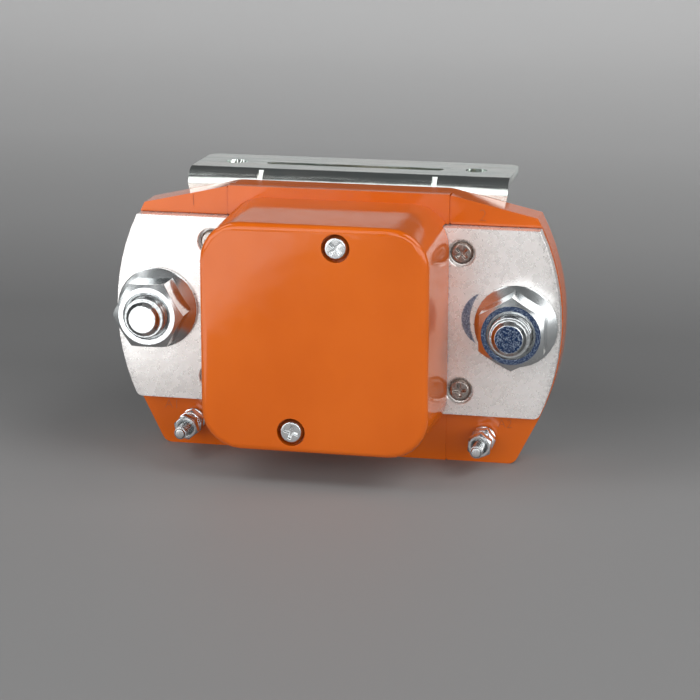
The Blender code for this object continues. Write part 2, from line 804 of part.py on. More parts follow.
def arc_cover(parent, finish):
    """The hollow cover with its flange, screw bosses and magnet rails."""
    cover = settle(cover_box(), parent, finish)
    flange = extruded(
        "cover_flange",
        rectangle(-FLANGE_HALF_WIDTH, -BASE_BOTTOM, FLANGE_HALF_WIDTH, BASE_TOP),
        "Y",
        -FLANGE_PROUD,
        FLANGE_THICKNESS,
    )
    add(cover, flange)
    cavity = rectangle(
        -CAVITY_HALF_WIDTH,
        -COVER_BOTTOM + COVER_WALL,
        CAVITY_HALF_WIDTH,
        COVER_TOP - COVER_WALL,
        COVER_CORNER - COVER_WALL,
        5,
    )
    cut(cover, extruded("cover_cavity", cavity, "Y", COVER_CEILING, FLANGE_THICKNESS + CUT_MARGIN))
    sides = ((-1, "lower", COVER_BOTTOM), (1, "upper", COVER_TOP))
    for side, level, wall in sides:
        magnet_rails(cover, side, level, wall)
        place = (side * COVER_SCREW_ACROSS, COVER_MIDDLE + side * COVER_SCREW_REACH)
        inside = COVER_CEILING - COVER_WALL / 2
        foot = FLANGE_THICKNESS / 2
        add(cover, hole("boss_" + level, *place, BOSS_RADIUS, inside, foot, MIDDLE_STEPS))
    for side, level, wall in sides:
        place = (side * COVER_SCREW_ACROSS, COVER_MIDDLE + side * COVER_SCREW_REACH)
        front, end = COVER_FRONT - CUT_MARGIN, FLANGE_THICKNESS + CUT_MARGIN
        floor = COVER_FRONT + COVER_SCREW_HEAD_HEIGHT + SEAT_GAP
        sizes = (front, COVER_SCREW_RECESS_RADIUS, floor, SCREW_RADIUS + SCREW_GAP, end)
        cut(cover, sunk_hole("boss_hole_" + level, *place, *sizes, MIDDLE_STEPS))
    notch = PLATE_HALF_HEIGHT + SEAT_GAP
    for side, name in ((-1, "left"), (1, "right")):
        beyond = COVER_HALF_WIDTH + COVER_DRAFT + CUT_MARGIN
        ends = sorted((side * (PLATE_SHOULDER - SEAT_GAP), side * beyond))
        cut(
            cover,
            block(
                "plate_notch_" + name,
                (ends[0], PLATE_FRONT - SEAT_GAP, -notch),
                (ends[1], RECESS_FLOOR, notch),
            ),
        )
    return cover


def magnet_rails(cover, side, level, wall):
    """Two ribs from a wall of the cover, with slots for the ends of one magnet."""
    outer = MAGNET_HALF_LENGTH + SEAT_GAP - RAIL_HOLD + RAIL_WIDTH
    back = MAGNET_FRONT + MAGNET_DEPTH
    heights = sorted((side * (MAGNET_INNER - SEAT_GAP - RAIL_LIP), side * (wall - COVER_WALL / 2)))
    for hand, name in ((-1, "left"), (1, "right")):
        ends = sorted((hand * (outer - RAIL_WIDTH), hand * outer))
        rail = block(
            f"rail_{level}_{name}",
            (ends[0], COVER_CEILING - COVER_WALL / 2, heights[0]),
            (ends[1], back, heights[1]),
        )
        slot = sorted(
            (side * (MAGNET_INNER - SEAT_GAP), side * (MAGNET_INNER + MAGNET_THICKNESS + SEAT_GAP))
        )
        reach = MAGNET_HALF_LENGTH + SEAT_GAP
        rail.parent = cover.parent
        slot_cutter = block(
            f"magnet_slot_{level}_{name}",
            (-reach, COVER_CEILING, slot[0]),
            (reach, back + CUT_MARGIN, slot[1]),
        )
        cut(rail, slot_cutter)
        add(cover, rail)


def terminal_plate(side, name, parent, finish):
    """One copper plate with its stud hole and its two counterbored screw holes."""
    outline = plate_outline()
    if side < 0:
        outline = mirrored(outline)
    plate = extruded("terminal_plate_" + name, outline, "Y", PLATE_FRONT, PLATE_BACK)
    settle(plate, parent, finish)
    bevel(plate, PLATE_EDGE_ROUND, 1)
    front, back = PLATE_FRONT - CUT_MARGIN, PLATE_BACK + CUT_MARGIN
    clear = STUD_RADIUS + SCREW_GAP
    cut(plate, hole("plate_stud_hole_" + name, side * STUD_X, 0, clear, front, back))
    for row, level in ((-1, "lower"), (1, "upper")):
        place = (side * PLATE_SCREW_ACROSS, row * PLATE_SCREW_HEIGHT)
        floor = PLATE_FRONT + PLATE_SCREW_HEAD_HEIGHT + SEAT_GAP
        sizes = (front, PLATE_SCREW_RECESS_RADIUS, floor, SCREW_RADIUS + SCREW_GAP, back)
        steps = MIDDLE_STEPS
        cut(plate, sunk_hole(f"plate_hole_{name}_{level}", *place, *sizes, steps, RECESS_CHAMFER))
    return plate


def terminal_stud_mesh(finish):
    """The M10 stud with a hexagonal head, front end at the origin."""
    head_front = STUD_POCKET_FLOOR + SEAT_GAP - STUD_FRONT
    length = head_front + STUD_HEAD_HEIGHT / 2
    stud = turned(
        "terminal_stud",
        [
            (0, 0),
            (STUD_RADIUS - STUD_CHAMFER, 0),
            (STUD_RADIUS, STUD_CHAMFER),
            (STUD_RADIUS, length),
            (0, length),
        ],
        steps=MIDDLE_STEPS,
    )
    head = extruded(
        "terminal_stud_head",
        hexagon(STUD_HEAD_FLATS),
        "Y",
        head_front,
        head_front + STUD_HEAD_HEIGHT,
    )
    add(stud, head)
    return baked(stud, finish, [head])


def terminals(parent, silver, zinc):
    """Plates, studs, flange nuts and plate screws on both sides."""
    stud = terminal_stud_mesh(zinc)
    skirt = (NUT_FLANGE_RADIUS, NUT_RIM, NUT_SKIRT)
    bore = STUD_RADIUS + SCREW_GAP
    sizes = (NUT_FLATS, NUT_HEIGHT, NUT_TOP_RADIUS, bore)
    nut = hexagonal_mesh("flange_nut", zinc, *sizes, FINE_STEPS, skirt)
    head = (PLATE_SCREW_HEAD_RADIUS, PLATE_SCREW_HEAD_HEIGHT)
    screw = cross_screw_mesh("plate_screw", zinc, *head, SCREW_RADIUS, PLATE_SCREW_LENGTH)
    for side, name, turn in ((-1, "left", NUT_LEFT_TURN), (1, "right", NUT_RIGHT_TURN)):
        terminal_plate(side, name, parent, silver)
        placed("terminal_stud_" + name, stud, (side * STUD_X, STUD_FRONT, 0), parent)
        placed("flange_nut_" + name, nut, (side * STUD_X, NUT_FRONT, 0), parent, turn)
        for row, level in ((-1, "lower"), (1, "upper")):
            place = (side * PLATE_SCREW_ACROSS, PLATE_FRONT, row * PLATE_SCREW_HEIGHT)
            placed(f"plate_screw_{name}_{level}", screw, place, parent, 20 + 25 * side * row)


def cover_screws(parent, zinc):
    """The two long screws that hold the arc cover."""
    length = CHANNEL_FLOOR + COVER_SCREW_BITE - SEAT_GAP - COVER_FRONT
    head = (COVER_SCREW_HEAD_RADIUS, COVER_SCREW_HEAD_HEIGHT)
    screw = cross_screw_mesh("cover_screw", zinc, *head, SCREW_RADIUS, length)
    for side, level in ((-1, "lower"), (1, "upper")):
        height = COVER_MIDDLE + side * COVER_SCREW_REACH
        place = (side * COVER_SCREW_ACROSS, COVER_FRONT, height)
        placed("cover_screw_" + level, screw, place, parent, 30 + 15 * side)


def frame_screws(parent, zinc):
    """The four screws that clamp base, bracket and pole plate."""
    head = (FRAME_SCREW_HEAD_RADIUS, FRAME_SCREW_HEAD_HEIGHT)
    length = POLE_PLATE_BACK - CHANNEL_FLOOR - SEAT_GAP
    screw = cross_screw_mesh("frame_screw", zinc, *head, FRAME_SCREW_RADIUS, length, HIDDEN_STEPS)
    for side, name in ((-1, "left"), (1, "right")):
        for row, level in ((-1, "lower"), (1, "upper")):
            place = (side * FRAME_SCREW_ACROSS, CHANNEL_FLOOR, row * FRAME_SCREW_HEIGHT)
            placed(f"frame_screw_{name}_{level}", screw, place, parent)


def spring_washer_mesh(name, finish, inner, outer, thickness):
    """A split washer: a ring with a slanted gap."""
    ring = turned(name, tube_profile(inner, outer, thickness), steps=SMALL_STEPS, ring=True)
    gap = block(
        name + "_gap",
        (-SEAT_GAP, -CUT_MARGIN, inner / 2),
        (SEAT_GAP, thickness + CUT_MARGIN, outer + CUT_MARGIN),
    )
    gap.rotation_euler.y = math.radians(20)
    cut(ring, gap)
    return baked(ring, finish, [gap])


def coil_connections(parent, zinc, brass):
    """The M3 stud of each coil connection with its washers, nuts and tag."""
    head_front = BASE_DEPTH + 2 * SEAT_GAP + TAG_THICKNESS
    stud = turned(
        "coil_stud",
        [
            (0, 0),
            (COIL_STUD_RADIUS * 0.7, 0),
            (COIL_STUD_RADIUS, COIL_STUD_RADIUS * 0.3),
            (COIL_STUD_RADIUS, head_front + COIL_STUD_REACH),
            (COIL_NUT_FLATS / 2, head_front + COIL_STUD_REACH),
            (COIL_NUT_FLATS / 2, head_front + COIL_STUD_REACH + COIL_HEAD_HEIGHT),
            (0, head_front + COIL_STUD_REACH + COIL_HEAD_HEIGHT),
        ],
        steps=SMALL_STEPS,
    )
    stud = baked(stud, zinc)
    bore = COIL_STUD_RADIUS + RUNNING_GAP
    washer = turned(
        "coil_washer",
        tube_profile(bore, COIL_WASHER_RADIUS, COIL_WASHER_THICKNESS),
        steps=SMALL_STEPS,
        ring=True,
    )
    washer = baked(washer, zinc)
    sizes = (bore, COIL_SPRING_WASHER_RADIUS, COIL_SPRING_WASHER_THICKNESS)
    split = spring_washer_mesh("coil_spring_washer", zinc, *sizes)
    sizes = (COIL_NUT_FLATS, COIL_NUT_HEIGHT, COIL_NUT_FLATS / 2 * 0.94, bore)
    nut = hexagonal_mesh("coil_nut", zinc, *sizes, SMALL_STEPS)
    stack = (
        ("coil_base_washer", washer, COIL_WASHER_THICKNESS),
        ("coil_lower_nut", nut, COIL_NUT_HEIGHT),
        ("coil_washer", washer, COIL_WASHER_THICKNESS),
        ("coil_spring_washer", split, COIL_SPRING_WASHER_THICKNESS),
        ("coil_nut", nut, COIL_NUT_HEIGHT),
    )
    for side, name in ((-1, "left"), (1, "right")):
        across = side * COIL_STUD_ACROSS
        placed("coil_stud_" + name, stud, (across, -COIL_STUD_REACH, -COIL_STUD_DROP), parent)
        front = 0.0
        for order, (kind, mesh, thickness) in enumerate(stack):
            front -= SEAT_GAP + thickness
            turn = 14 * order + 9 * side
            placed(f"{kind}_{name}", mesh, (across, front, -COIL_STUD_DROP), parent, turn)
        coil_tag(side, name, parent, brass)


def coil_tag(side, name, parent, brass):
    """A brass strip along the base's back, folded through a slot in the bobbin's flange."""
    front = BASE_DEPTH + SEAT_GAP
    tail = BOBBIN_FRONT + BOBBIN_FLANGE + TAG_TAIL
    inner, outer = TAG_INNER, TAG_OUTER
    outline = [
        (inner, front),
        (outer, front),
        (outer, front + TAG_THICKNESS),
        (inner + TAG_THICKNESS, front + TAG_THICKNESS),
        (inner + TAG_THICKNESS, tail),
        (inner, tail),
    ]
    if side < 0:
        outline = mirrored(outline)
    low = -COIL_STUD_DROP - TAG_WIDTH / 2
    tag = extruded("coil_tag_" + name, outline, "Z", low, low + TAG_WIDTH)
    settle(tag, parent, brass)
    clear = COIL_STUD_RADIUS + SCREW_GAP
    place = (side * COIL_STUD_ACROSS, -COIL_STUD_DROP)
    back = front + TAG_THICKNESS + CUT_MARGIN
    cut(tag, hole("tag_hole_" + name, *place, clear, front - CUT_MARGIN, back))
    return tag


def bracket_section():
    """The folded section of the bracket: a flange behind the base and a shelf over the frame."""
    bend_y = BRACKET_FRONT + BEND_OUTER_RADIUS
    bend_z = BRACKET_TOP - BEND_OUTER_RADIUS
    outside = arc(bend_y, bend_z, BEND_OUTER_RADIUS, 180, 90, 8)
    inside = arc(bend_y, bend_z, BEND_INNER_RADIUS, 90, 180, 6)
    foot = [(BRACKET_FRONT + SHEET_THICKNESS, -BRACKET_FOOT), (BRACKET_FRONT, -BRACKET_FOOT)]
    return outside + [(BRACKET_BACK, BRACKET_TOP), (BRACKET_BACK, SHELF_UNDERSIDE)] + inside + foot


def dart_point(depth, from_front=None, from_top=None):
    """A point of a dart's slanted face, moved in by a depth, at a distance from one face."""
    slope = DART_REACH / DART_DROP
    back = depth * math.hypot(1, slope)
    if from_top is None:
        from_top = DART_DROP + (back - from_front) / slope
    else:
        from_front = DART_REACH + back - from_top * slope
    return (BRACKET_FRONT + from_front, BRACKET_TOP - from_top)


def mounting_bracket(parent, finish):
    """The folded bracket with tapered flange, holes, slot and stiffening darts."""
    bracket = extruded(
        "mounting_bracket", bracket_section(), "X", -BRACKET_HALF_WIDTH, BRACKET_HALF_WIDTH
    )
    settle(bracket, parent, finish)
    bend_z = BRACKET_TOP - BEND_OUTER_RADIUS
    taper = [
        (-BRACKET_FOOT_HALF_WIDTH, -BRACKET_FOOT - CUT_MARGIN),
        (BRACKET_FOOT_HALF_WIDTH, -BRACKET_FOOT - CUT_MARGIN),
        (BRACKET_HALF_WIDTH, bend_z),
        (BRACKET_HALF_WIDTH, BRACKET_TOP + CUT_MARGIN),
        (-BRACKET_HALF_WIDTH, BRACKET_TOP + CUT_MARGIN),
        (-BRACKET_HALF_WIDTH, bend_z),
    ]
    widen = 1 + CUT_MARGIN / BRACKET_HALF_WIDTH
    taper = [(across * widen if up > bend_z else across, up) for across, up in taper]
    front, back = BRACKET_FRONT - CUT_MARGIN, BRACKET_BACK + CUT_MARGIN
    join(bracket, extruded("bracket_taper", taper, "Y", front, back), "INTERSECT")
    plan = rectangle(-BRACKET_HALF_WIDTH, front, BRACKET_HALF_WIDTH, BRACKET_BACK)
    plan = fillet(plan, 3, BRACKET_BACK_ROUND)
    plan = fillet(plan, 2, BRACKET_BACK_ROUND)
    low, high = -BRACKET_FOOT - 2 * CUT_MARGIN, BRACKET_TOP + CUT_MARGIN
    join(bracket, extruded("bracket_plan", plan, "Z", low, high), "INTERSECT")
    for side, name in ((-1, "left"), (1, "right")):
        bracket_dart(bracket, side, name)
    for side, name in ((-1, "left"), (1, "right")):
        across = side * MOUNT_HOLE_SPACING / 2
        ring = circle(across, MOUNT_HOLE_SETBACK, MOUNT_HOLE_RADIUS)
        under = SHELF_UNDERSIDE - CUT_MARGIN
        cut(bracket, extruded("mount_hole_" + name, ring, "Z", under, high))
        for row, level in ((-1, "lower"), (1, "upper")):
            place = (side * FRAME_SCREW_ACROSS, row * FRAME_SCREW_HEIGHT)
            clear = FRAME_SCREW_RADIUS + SCREW_GAP
            through = BRACKET_FRONT + SHEET_THICKNESS + CUT_MARGIN
            cut(bracket, hole(f"bracket_hole_{name}_{level}", *place, clear, front, through))
    half = SLOT_WIDTH / 2
    slot = rectangle(
        -SLOT_HALF_LENGTH, SLOT_SETBACK - half, SLOT_HALF_LENGTH, SLOT_SETBACK + half, half * 0.98, 5
    )
    cut(bracket, extruded("bracket_slot", slot, "Z", SHELF_UNDERSIDE - CUT_MARGIN, high))
    clear = PLUNGER_RADIUS + 2 * SEAT_GAP
    through = BRACKET_FRONT + SHEET_THICKNESS + CUT_MARGIN
    cut(bracket, hole("bracket_bore", 0, 0, clear, front, through, MIDDLE_STEPS))
    return bracket


def bracket_dart(bracket, side, name):
    """A stiffening dart pressed across the bend: a groove outside and a web inside."""
    middle = side * DART_ACROSS
    skin = SHEET_THICKNESS / 2
    web = [
        dart_point(0, from_front=skin),
        dart_point(SHEET_THICKNESS, from_front=skin),
        dart_point(SHEET_THICKNESS, from_top=skin),
        dart_point(0, from_top=skin),
    ]
    half = DART_WIDTH / 2 + SHEET_THICKNESS / 4
    add(bracket, extruded("dart_web_" + name, web, "X", middle - half, middle + half))
    half = DART_WIDTH / 2
    groove = [
        dart_point(0, from_front=-CUT_MARGIN),
        dart_point(0, from_top=-CUT_MARGIN),
        (BRACKET_FRONT - CUT_MARGIN, BRACKET_TOP + CUT_MARGIN),
    ]
    cut(bracket, extruded("dart_groove_" + name, groove, "X", middle - half, middle + half))


def pole_plate_top():
    """The pole plate is as high as the yoke and ends below the inner face of the darts."""
    clear = dart_point(SHEET_THICKNESS, from_front=POLE_PLATE_FRONT - BRACKET_FRONT)
    return min(YOKE_TOP, clear[1] - 2 * SEAT_GAP)


def pole_plate(parent, finish):
    """The front plate of the magnet frame, with its bore, screw holes and tenon slots."""
    outline = rectangle(
        -POLE_PLATE_HALF_WIDTH, -POLE_PLATE_FOOT, POLE_PLATE_HALF_WIDTH, pole_plate_top()
    )
    holes = [circle(0, 0, BOBBIN_BORE_RADIUS)]
    for side in (-1, 1):
        for row in (-1, 1):
            place = (side * FRAME_SCREW_ACROSS, row * FRAME_SCREW_HEIGHT)
            holes.append(circle(*place, FRAME_SCREW_RADIUS + SCREW_GAP, HIDDEN_STEPS))
        for middle in (TENON_UPPER, -TENON_LOWER):
            slot = sorted((side * (YOKE_INNER_HALF_WIDTH - SEAT_GAP), side * (YOKE_HALF_WIDTH + SEAT_GAP)))
            half = TENON_HEIGHT / 2 + SEAT_GAP
            holes.append(rectangle(slot[0], middle - half, slot[1], middle + half))
    plate = extruded("pole_plate", outline, "Y", POLE_PLATE_FRONT, POLE_PLATE_BACK, holes)
    return settle(plate, parent, finish)


def yoke(parent, finish):
    """The folded U of the magnet frame: two cheeks and a web round the coil."""
    inner = YOKE_BEND_RADIUS
    outer = YOKE_BEND_RADIUS + YOKE_THICKNESS
    right, left = YOKE_HALF_WIDTH, -YOKE_HALF_WIDTH
    section = [(left, BOBBIN_FRONT)]
    section += arc(left + outer, WEB_BACK - outer, outer, 180, 90, 6)
    section += arc(right - outer, WEB_BACK - outer, outer, 90, 0, 6)
    section += [(right, BOBBIN_FRONT), (right - YOKE_THICKNESS, BOBBIN_FRONT)]
    section += arc(right - YOKE_THICKNESS - inner, WEB_FRONT - inner, inner, 0, 90, 4)
    section += arc(left + YOKE_THICKNESS + inner, WEB_FRONT - inner, inner, 90, 180, 4)
    section += [(left + YOKE_THICKNESS, BOBBIN_FRONT)]
    frame = extruded("yoke", section, "Z", -BASE_BOTTOM, YOKE_TOP)
    settle(frame, parent, finish)
    for side, name in ((-1, "left"), (1, "right")):
        ends = sorted((side * YOKE_INNER_HALF_WIDTH, side * YOKE_HALF_WIDTH))
        for middle, level in ((TENON_UPPER, "upper"), (-TENON_LOWER, "lower")):
            half = TENON_HEIGHT / 2
            add(
                frame,
                block(
                    f"tenon_{name}_{level}",
                    (ends[0], POLE_PLATE_FRONT, middle - half),
                    (ends[1], BOBBIN_FRONT + CUT_MARGIN, middle + half),
                ),
            )
    clear = CORE_SPIGOT_RADIUS + SCREW_GAP
    back = WEB_BACK + CUT_MARGIN
    cut(frame, hole("core_hole", 0, 0, clear, WEB_FRONT - CUT_MARGIN, back, MIDDLE_STEPS))
    return frame


def coil(parent, plastic, copper, tape):
    """Bobbin, winding and wrap."""
    half_flange = BOBBIN_FLANGE / 2
    length = BOBBIN_LENGTH - BOBBIN_FLANGE
    bobbin = turned(
        "coil_bobbin",
        [(0, 0), (BOBBIN_TUBE_RADIUS, 0), (BOBBIN_TUBE_RADIUS, length), (0, length)],
        (0, BOBBIN_FRONT + half_flange, 0),
        MIDDLE_STEPS,
    )
    settle(bobbin, parent, plastic)
    outline = rectangle(
        -BOBBIN_HALF_WIDTH, -BOBBIN_FOOT, BOBBIN_HALF_WIDTH, BOBBIN_TOP, BOBBIN_CORNER, 4
    )
    front = BOBBIN_FRONT + BOBBIN_FLANGE
    add(bobbin, extruded("front_flange", outline, "Y", BOBBIN_FRONT, front))
    back = BOBBIN_BACK - BOBBIN_FLANGE
    add(bobbin, extruded("back_flange", outline, "Y", back, BOBBIN_BACK))
    ends = (BOBBIN_FRONT - CUT_MARGIN, BOBBIN_BACK + CUT_MARGIN)
    cut(bobbin, hole("bobbin_bore", 0, 0, BOBBIN_BORE_RADIUS, *ends, MIDDLE_STEPS))
    for side, name in ((-1, "left"), (1, "right")):
        faces = sorted((side * (TAG_INNER - SEAT_GAP), side * (TAG_INNER + TAG_THICKNESS + SEAT_GAP)))
        half = TAG_WIDTH / 2 + SEAT_GAP
        cut(
            bobbin,
            block(
                "tag_slot_" + name,
                (faces[0], ends[0], -COIL_STUD_DROP - half),
                (faces[1], front + CUT_MARGIN, -COIL_STUD_DROP + half),
            ),
        )
    start = front + SEAT_GAP
    length = back - SEAT_GAP - start
    winding = turned(
        "coil_winding",
        tube_profile(BOBBIN_TUBE_RADIUS + SEAT_GAP, WINDING_RADIUS, length),
        (0, start, 0),
        FINE_STEPS,
        ring=True,
    )
    settle(winding, parent, copper)
    wrap_inner = WINDING_RADIUS + SEAT_GAP
    wrap = turned(
        "coil_wrap",
        tube_profile(wrap_inner, wrap_inner + WRAP_THICKNESS, length),
        (0, start, 0),
        FINE_STEPS,
        ring=True,
    )
    settle(wrap, parent, tape)


def core_and_sleeve(parent, steel, brass):
    """The fixed pole, staked through the yoke, and the brass tube round it."""
    face = WEB_FRONT - SEAT_GAP - CORE_FRONT
    web_end = WEB_BACK + SEAT_GAP - CORE_FRONT
    core = turned(
        "fixed_core",
        [
            (0, SPRING_POCKET_DEPTH),
            (SPRING_POCKET_RADIUS, SPRING_POCKET_DEPTH),
            (SPRING_POCKET_RADIUS, 0),
            (PLUNGER_RADIUS, 0),
            (PLUNGER_RADIUS, face),
            (CORE_SPIGOT_RADIUS, face),
            (CORE_SPIGOT_RADIUS, web_end),
            (CORE_HEAD_RADIUS, web_end),
            (CORE_HEAD_RADIUS - CORE_HEAD_HEIGHT / 2, web_end + CORE_HEAD_HEIGHT),
            (0, web_end + CORE_HEAD_HEIGHT),
        ],
        (0, CORE_FRONT, 0),
    )
    settle(core, parent, steel)
    sleeve_front = POLE_PLATE_FRONT + SEAT_GAP
    sleeve = turned(
        "plunger_sleeve",
        tube_profile(SLEEVE_INNER_RADIUS, SLEEVE_RADIUS, BOBBIN_BACK - SEAT_GAP - sleeve_front),
        (0, sleeve_front, 0),
        ring=True,
    )
    settle(sleeve, parent, brass)


def armature(parent, steel, stainless, zinc):
    """Plunger, rod, clip and cup, carried by an empty on the slide's axis."""
    axis = empty("armature_axis", (0, PLUNGER_FRONT, 0), parent)
    bore = ROD_RADIUS + RUNNING_GAP
    depth = ROD_DEPTH_IN_PLUNGER + SEAT_GAP
    back = PLUNGER_LENGTH
    rim = SPRING_POCKET_DEPTH
    plunger = turned(
        "plunger",
        [
            (0, depth),
            (bore, depth),
            (bore, 0),
            (PLUNGER_RADIUS - SEAT_GAP, 0),
            (PLUNGER_RADIUS, SEAT_GAP),
            (PLUNGER_RADIUS, back),
            (SPRING_POCKET_RADIUS, back),
            (SPRING_POCKET_RADIUS, back - rim),
            (0, back - rim),
        ],
    )
    settle(plunger, axis, steel)
    collar = COLLAR_FRONT - ROD_FRONT
    groove = CLIP_FRONT - ROD_FRONT - RUNNING_GAP
    groove_end = groove + CLIP_THICKNESS + 2 * RUNNING_GAP
    root = ROD_RADIUS - ROD_GROOVE_DEPTH
    rod = turned(
        "plunger_rod",
        [
            (0, 0),
            (ROD_RADIUS - SEAT_GAP, 0),
            (ROD_RADIUS, SEAT_GAP),
            (ROD_RADIUS, groove),
            (root, groove),
            (root, groove_end),
            (ROD_RADIUS, groove_end),
            (ROD_RADIUS, collar),
            (ROD_COLLAR_RADIUS, collar),
            (ROD_COLLAR_RADIUS, collar + ROD_COLLAR_THICKNESS),
            (ROD_RADIUS, collar + ROD_COLLAR_THICKNESS),
            (ROD_RADIUS, ROD_BACK - ROD_FRONT),
            (0, ROD_BACK - ROD_FRONT),
        ],
        (0, ROD_FRONT - PLUNGER_FRONT, 0),
        SMALL_STEPS,
    )
    settle(rod, axis, stainless)
    clip = turned(
        "rod_clip",
        tube_profile(root + RUNNING_GAP / 2, CLIP_RADIUS, CLIP_THICKNESS),
        (0, CLIP_FRONT - PLUNGER_FRONT, 0),
        SMALL_STEPS,
        ring=True,
    )
    settle(clip, axis, zinc)
    gap = root * 0.8
    cut(
        clip,
        block(
            "clip_mouth",
            (-gap, CLIP_FRONT - PLUNGER_FRONT - CUT_MARGIN, -CLIP_RADIUS - CUT_MARGIN),
            (gap, CLIP_FRONT - PLUNGER_FRONT + CLIP_THICKNESS + CUT_MARGIN, 0),
        ),
    )
    cup = turned(
        "spring_cup",
        tube_profile(ROD_RADIUS + RUNNING_GAP, CUP_RADIUS, CUP_THICKNESS),
        (0, CUP_FRONT - PLUNGER_FRONT, 0),
        MIDDLE_STEPS,
        ring=True,
    )
    settle(cup, axis, zinc)
    return axis


def contacts(base_parent, armature_axis, silver, copper):
    """Fixed and moving tips and the bridge, which slides on the rod."""
    bridge_axis = empty("bridge_axis", (0, BRIDGE_FRONT - PLUNGER_FRONT, 0), armature_axis)
    bar = extruded(
        "bridge_contact",
        rectangle(
            -BRIDGE_HALF_LENGTH,
            -BRIDGE_HALF_HEIGHT,
            BRIDGE_HALF_LENGTH,
            BRIDGE_HALF_HEIGHT,
            BRIDGE_HALF_HEIGHT / 2,
            4,
        ),
        "Y",
        0,
        BRIDGE_THICKNESS,
        [circle(0, 0, ROD_RADIUS + RUNNING_GAP, SMALL_STEPS)],
    )
    settle(bar, bridge_axis, copper)
    half = TIP_SIZE / 2
    square = rectangle(-half, -half, half, half, half / 4, 2)
    for side, name in ((-1, "left"), (1, "right")):
        outline = [(across + side * TIP_ACROSS, up) for across, up in square]
        fixed = extruded(
            "fixed_tip_" + name, outline, "Y", FIXED_TIP_FRONT, FIXED_TIP_FRONT + TIP_THICKNESS
        )
        settle(fixed, base_parent, silver)
        start = MOVING_TIP_FRONT - BRIDGE_FRONT
        moving = extruded("moving_tip_" + name, outline, "Y", start, start + TIP_THICKNESS)
        settle(moving, bridge_axis, silver)


def guide_bush(parent, finish):
    """The flanged bush that guides the rod in the base."""
    front = CHANNEL_FLOOR - SEAT_GAP - BUSH_FLANGE_THICKNESS
    length = BASE_DEPTH - front
    bush = turned(
        "guide_bush",
        [
            (BUSH_FLANGE_RADIUS, 0),
            (BUSH_FLANGE_RADIUS, BUSH_FLANGE_THICKNESS),
            (BUSH_RADIUS, BUSH_FLANGE_THICKNESS),
            (BUSH_RADIUS, length),
            (ROD_RADIUS + RUNNING_GAP, length),
            (ROD_RADIUS + RUNNING_GAP, 0),
        ],
        (0, front, 0),
        MIDDLE_STEPS,
        ring=True,
    )
    return settle(bush, parent, finish)


def arc_magnets(parent, finish):
    """The two blow-out magnets in the rails of the cover."""
    for side, level in ((-1, "lower"), (1, "upper")):
        heights = sorted((side * MAGNET_INNER, side * (MAGNET_INNER + MAGNET_THICKNESS)))
        magnet = block(
            "arc_magnet_" + level,
            (-MAGNET_HALF_LENGTH, MAGNET_FRONT, heights[0]),
            (MAGNET_HALF_LENGTH, MAGNET_FRONT + MAGNET_DEPTH - SEAT_GAP, heights[1]),
        )
        settle(magnet, parent, finish)


def build():
    """Builds the whole contactor."""
    datum = start_scene()
    orange = material("orange_moulding", (0.72, 0.16, 0.02), 0.0, 0.3)
    silver = material("silver_plate", (0.85, 0.83, 0.80), 1.0, 0.35)
    zinc = material("bright_zinc", (0.62, 0.66, 0.70), 1.0, 0.28)
    sheet = material("zinc_sheet", (0.74, 0.78, 0.72), 1.0, 0.3)
    steel = material("frame_steel", (0.55, 0.56, 0.58), 1.0, 0.4)
    stainless = material("stainless", (0.60, 0.60, 0.60), 1.0, 0.3)
    copper = material("copper", (0.72, 0.36, 0.20), 1.0, 0.35)
    brass = material("brass", (0.75, 0.58, 0.28), 1.0, 0.35)
    black = material("black_moulding", (0.03, 0.03, 0.03), 0.0, 0.5)
    tape = material("polyester_tape", (0.70, 0.52, 0.10), 0.0, 0.4)
    white = material("bush_polymer", (0.82, 0.80, 0.74), 0.0, 0.5)
    magnet = material("magnet", (0.12, 0.12, 0.13), 0.6, 0.5)
    contact_base(datum, orange)
    arc_cover(datum, orange)
    terminals(datum, silver, zinc)
    cover_screws(datum, zinc)
    frame_screws(datum, zinc)
    coil_connections(datum, zinc, brass)
    mounting_bracket(datum, sheet)
    pole_plate(datum, steel)
    yoke(datum, steel)
    coil(datum, black, copper, tape)
    core_and_sleeve(datum, steel, brass)
    guide_bush(datum, white)
    arc_magnets(datum, magnet)
    axis = armature(datum, steel, stainless, zinc)
    contacts(datum, axis, silver, copper)
    pocket_floor = PLUNGER_BACK - SPRING_POCKET_DEPTH
    core_floor = CORE_FRONT + SPRING_POCKET_DEPTH
    coil_spring(
        "return_spring",
        RETURN_SPRING_RADIUS,
        RETURN_SPRING_WIRE,
        RETURN_SPRING_TURNS,
        pocket_floor + SEAT_GAP,
        core_floor - SEAT_GAP,
        datum,
        stainless,
    )
    coil_spring(
        "contact_spring",
        CONTACT_SPRING_RADIUS,
        CONTACT_SPRING_WIRE,
        CONTACT_SPRING_TURNS,
        CUP_BACK + SEAT_GAP - PLUNGER_FRONT,
        BRIDGE_FRONT - SEAT_GAP - PLUNGER_FRONT,
        axis,
        stainless,
    )


build()
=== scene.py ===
"""Looks, light and camera for the high voltage dc contactor."""

import json
import math

import bpy
from mathutils import Matrix, Vector


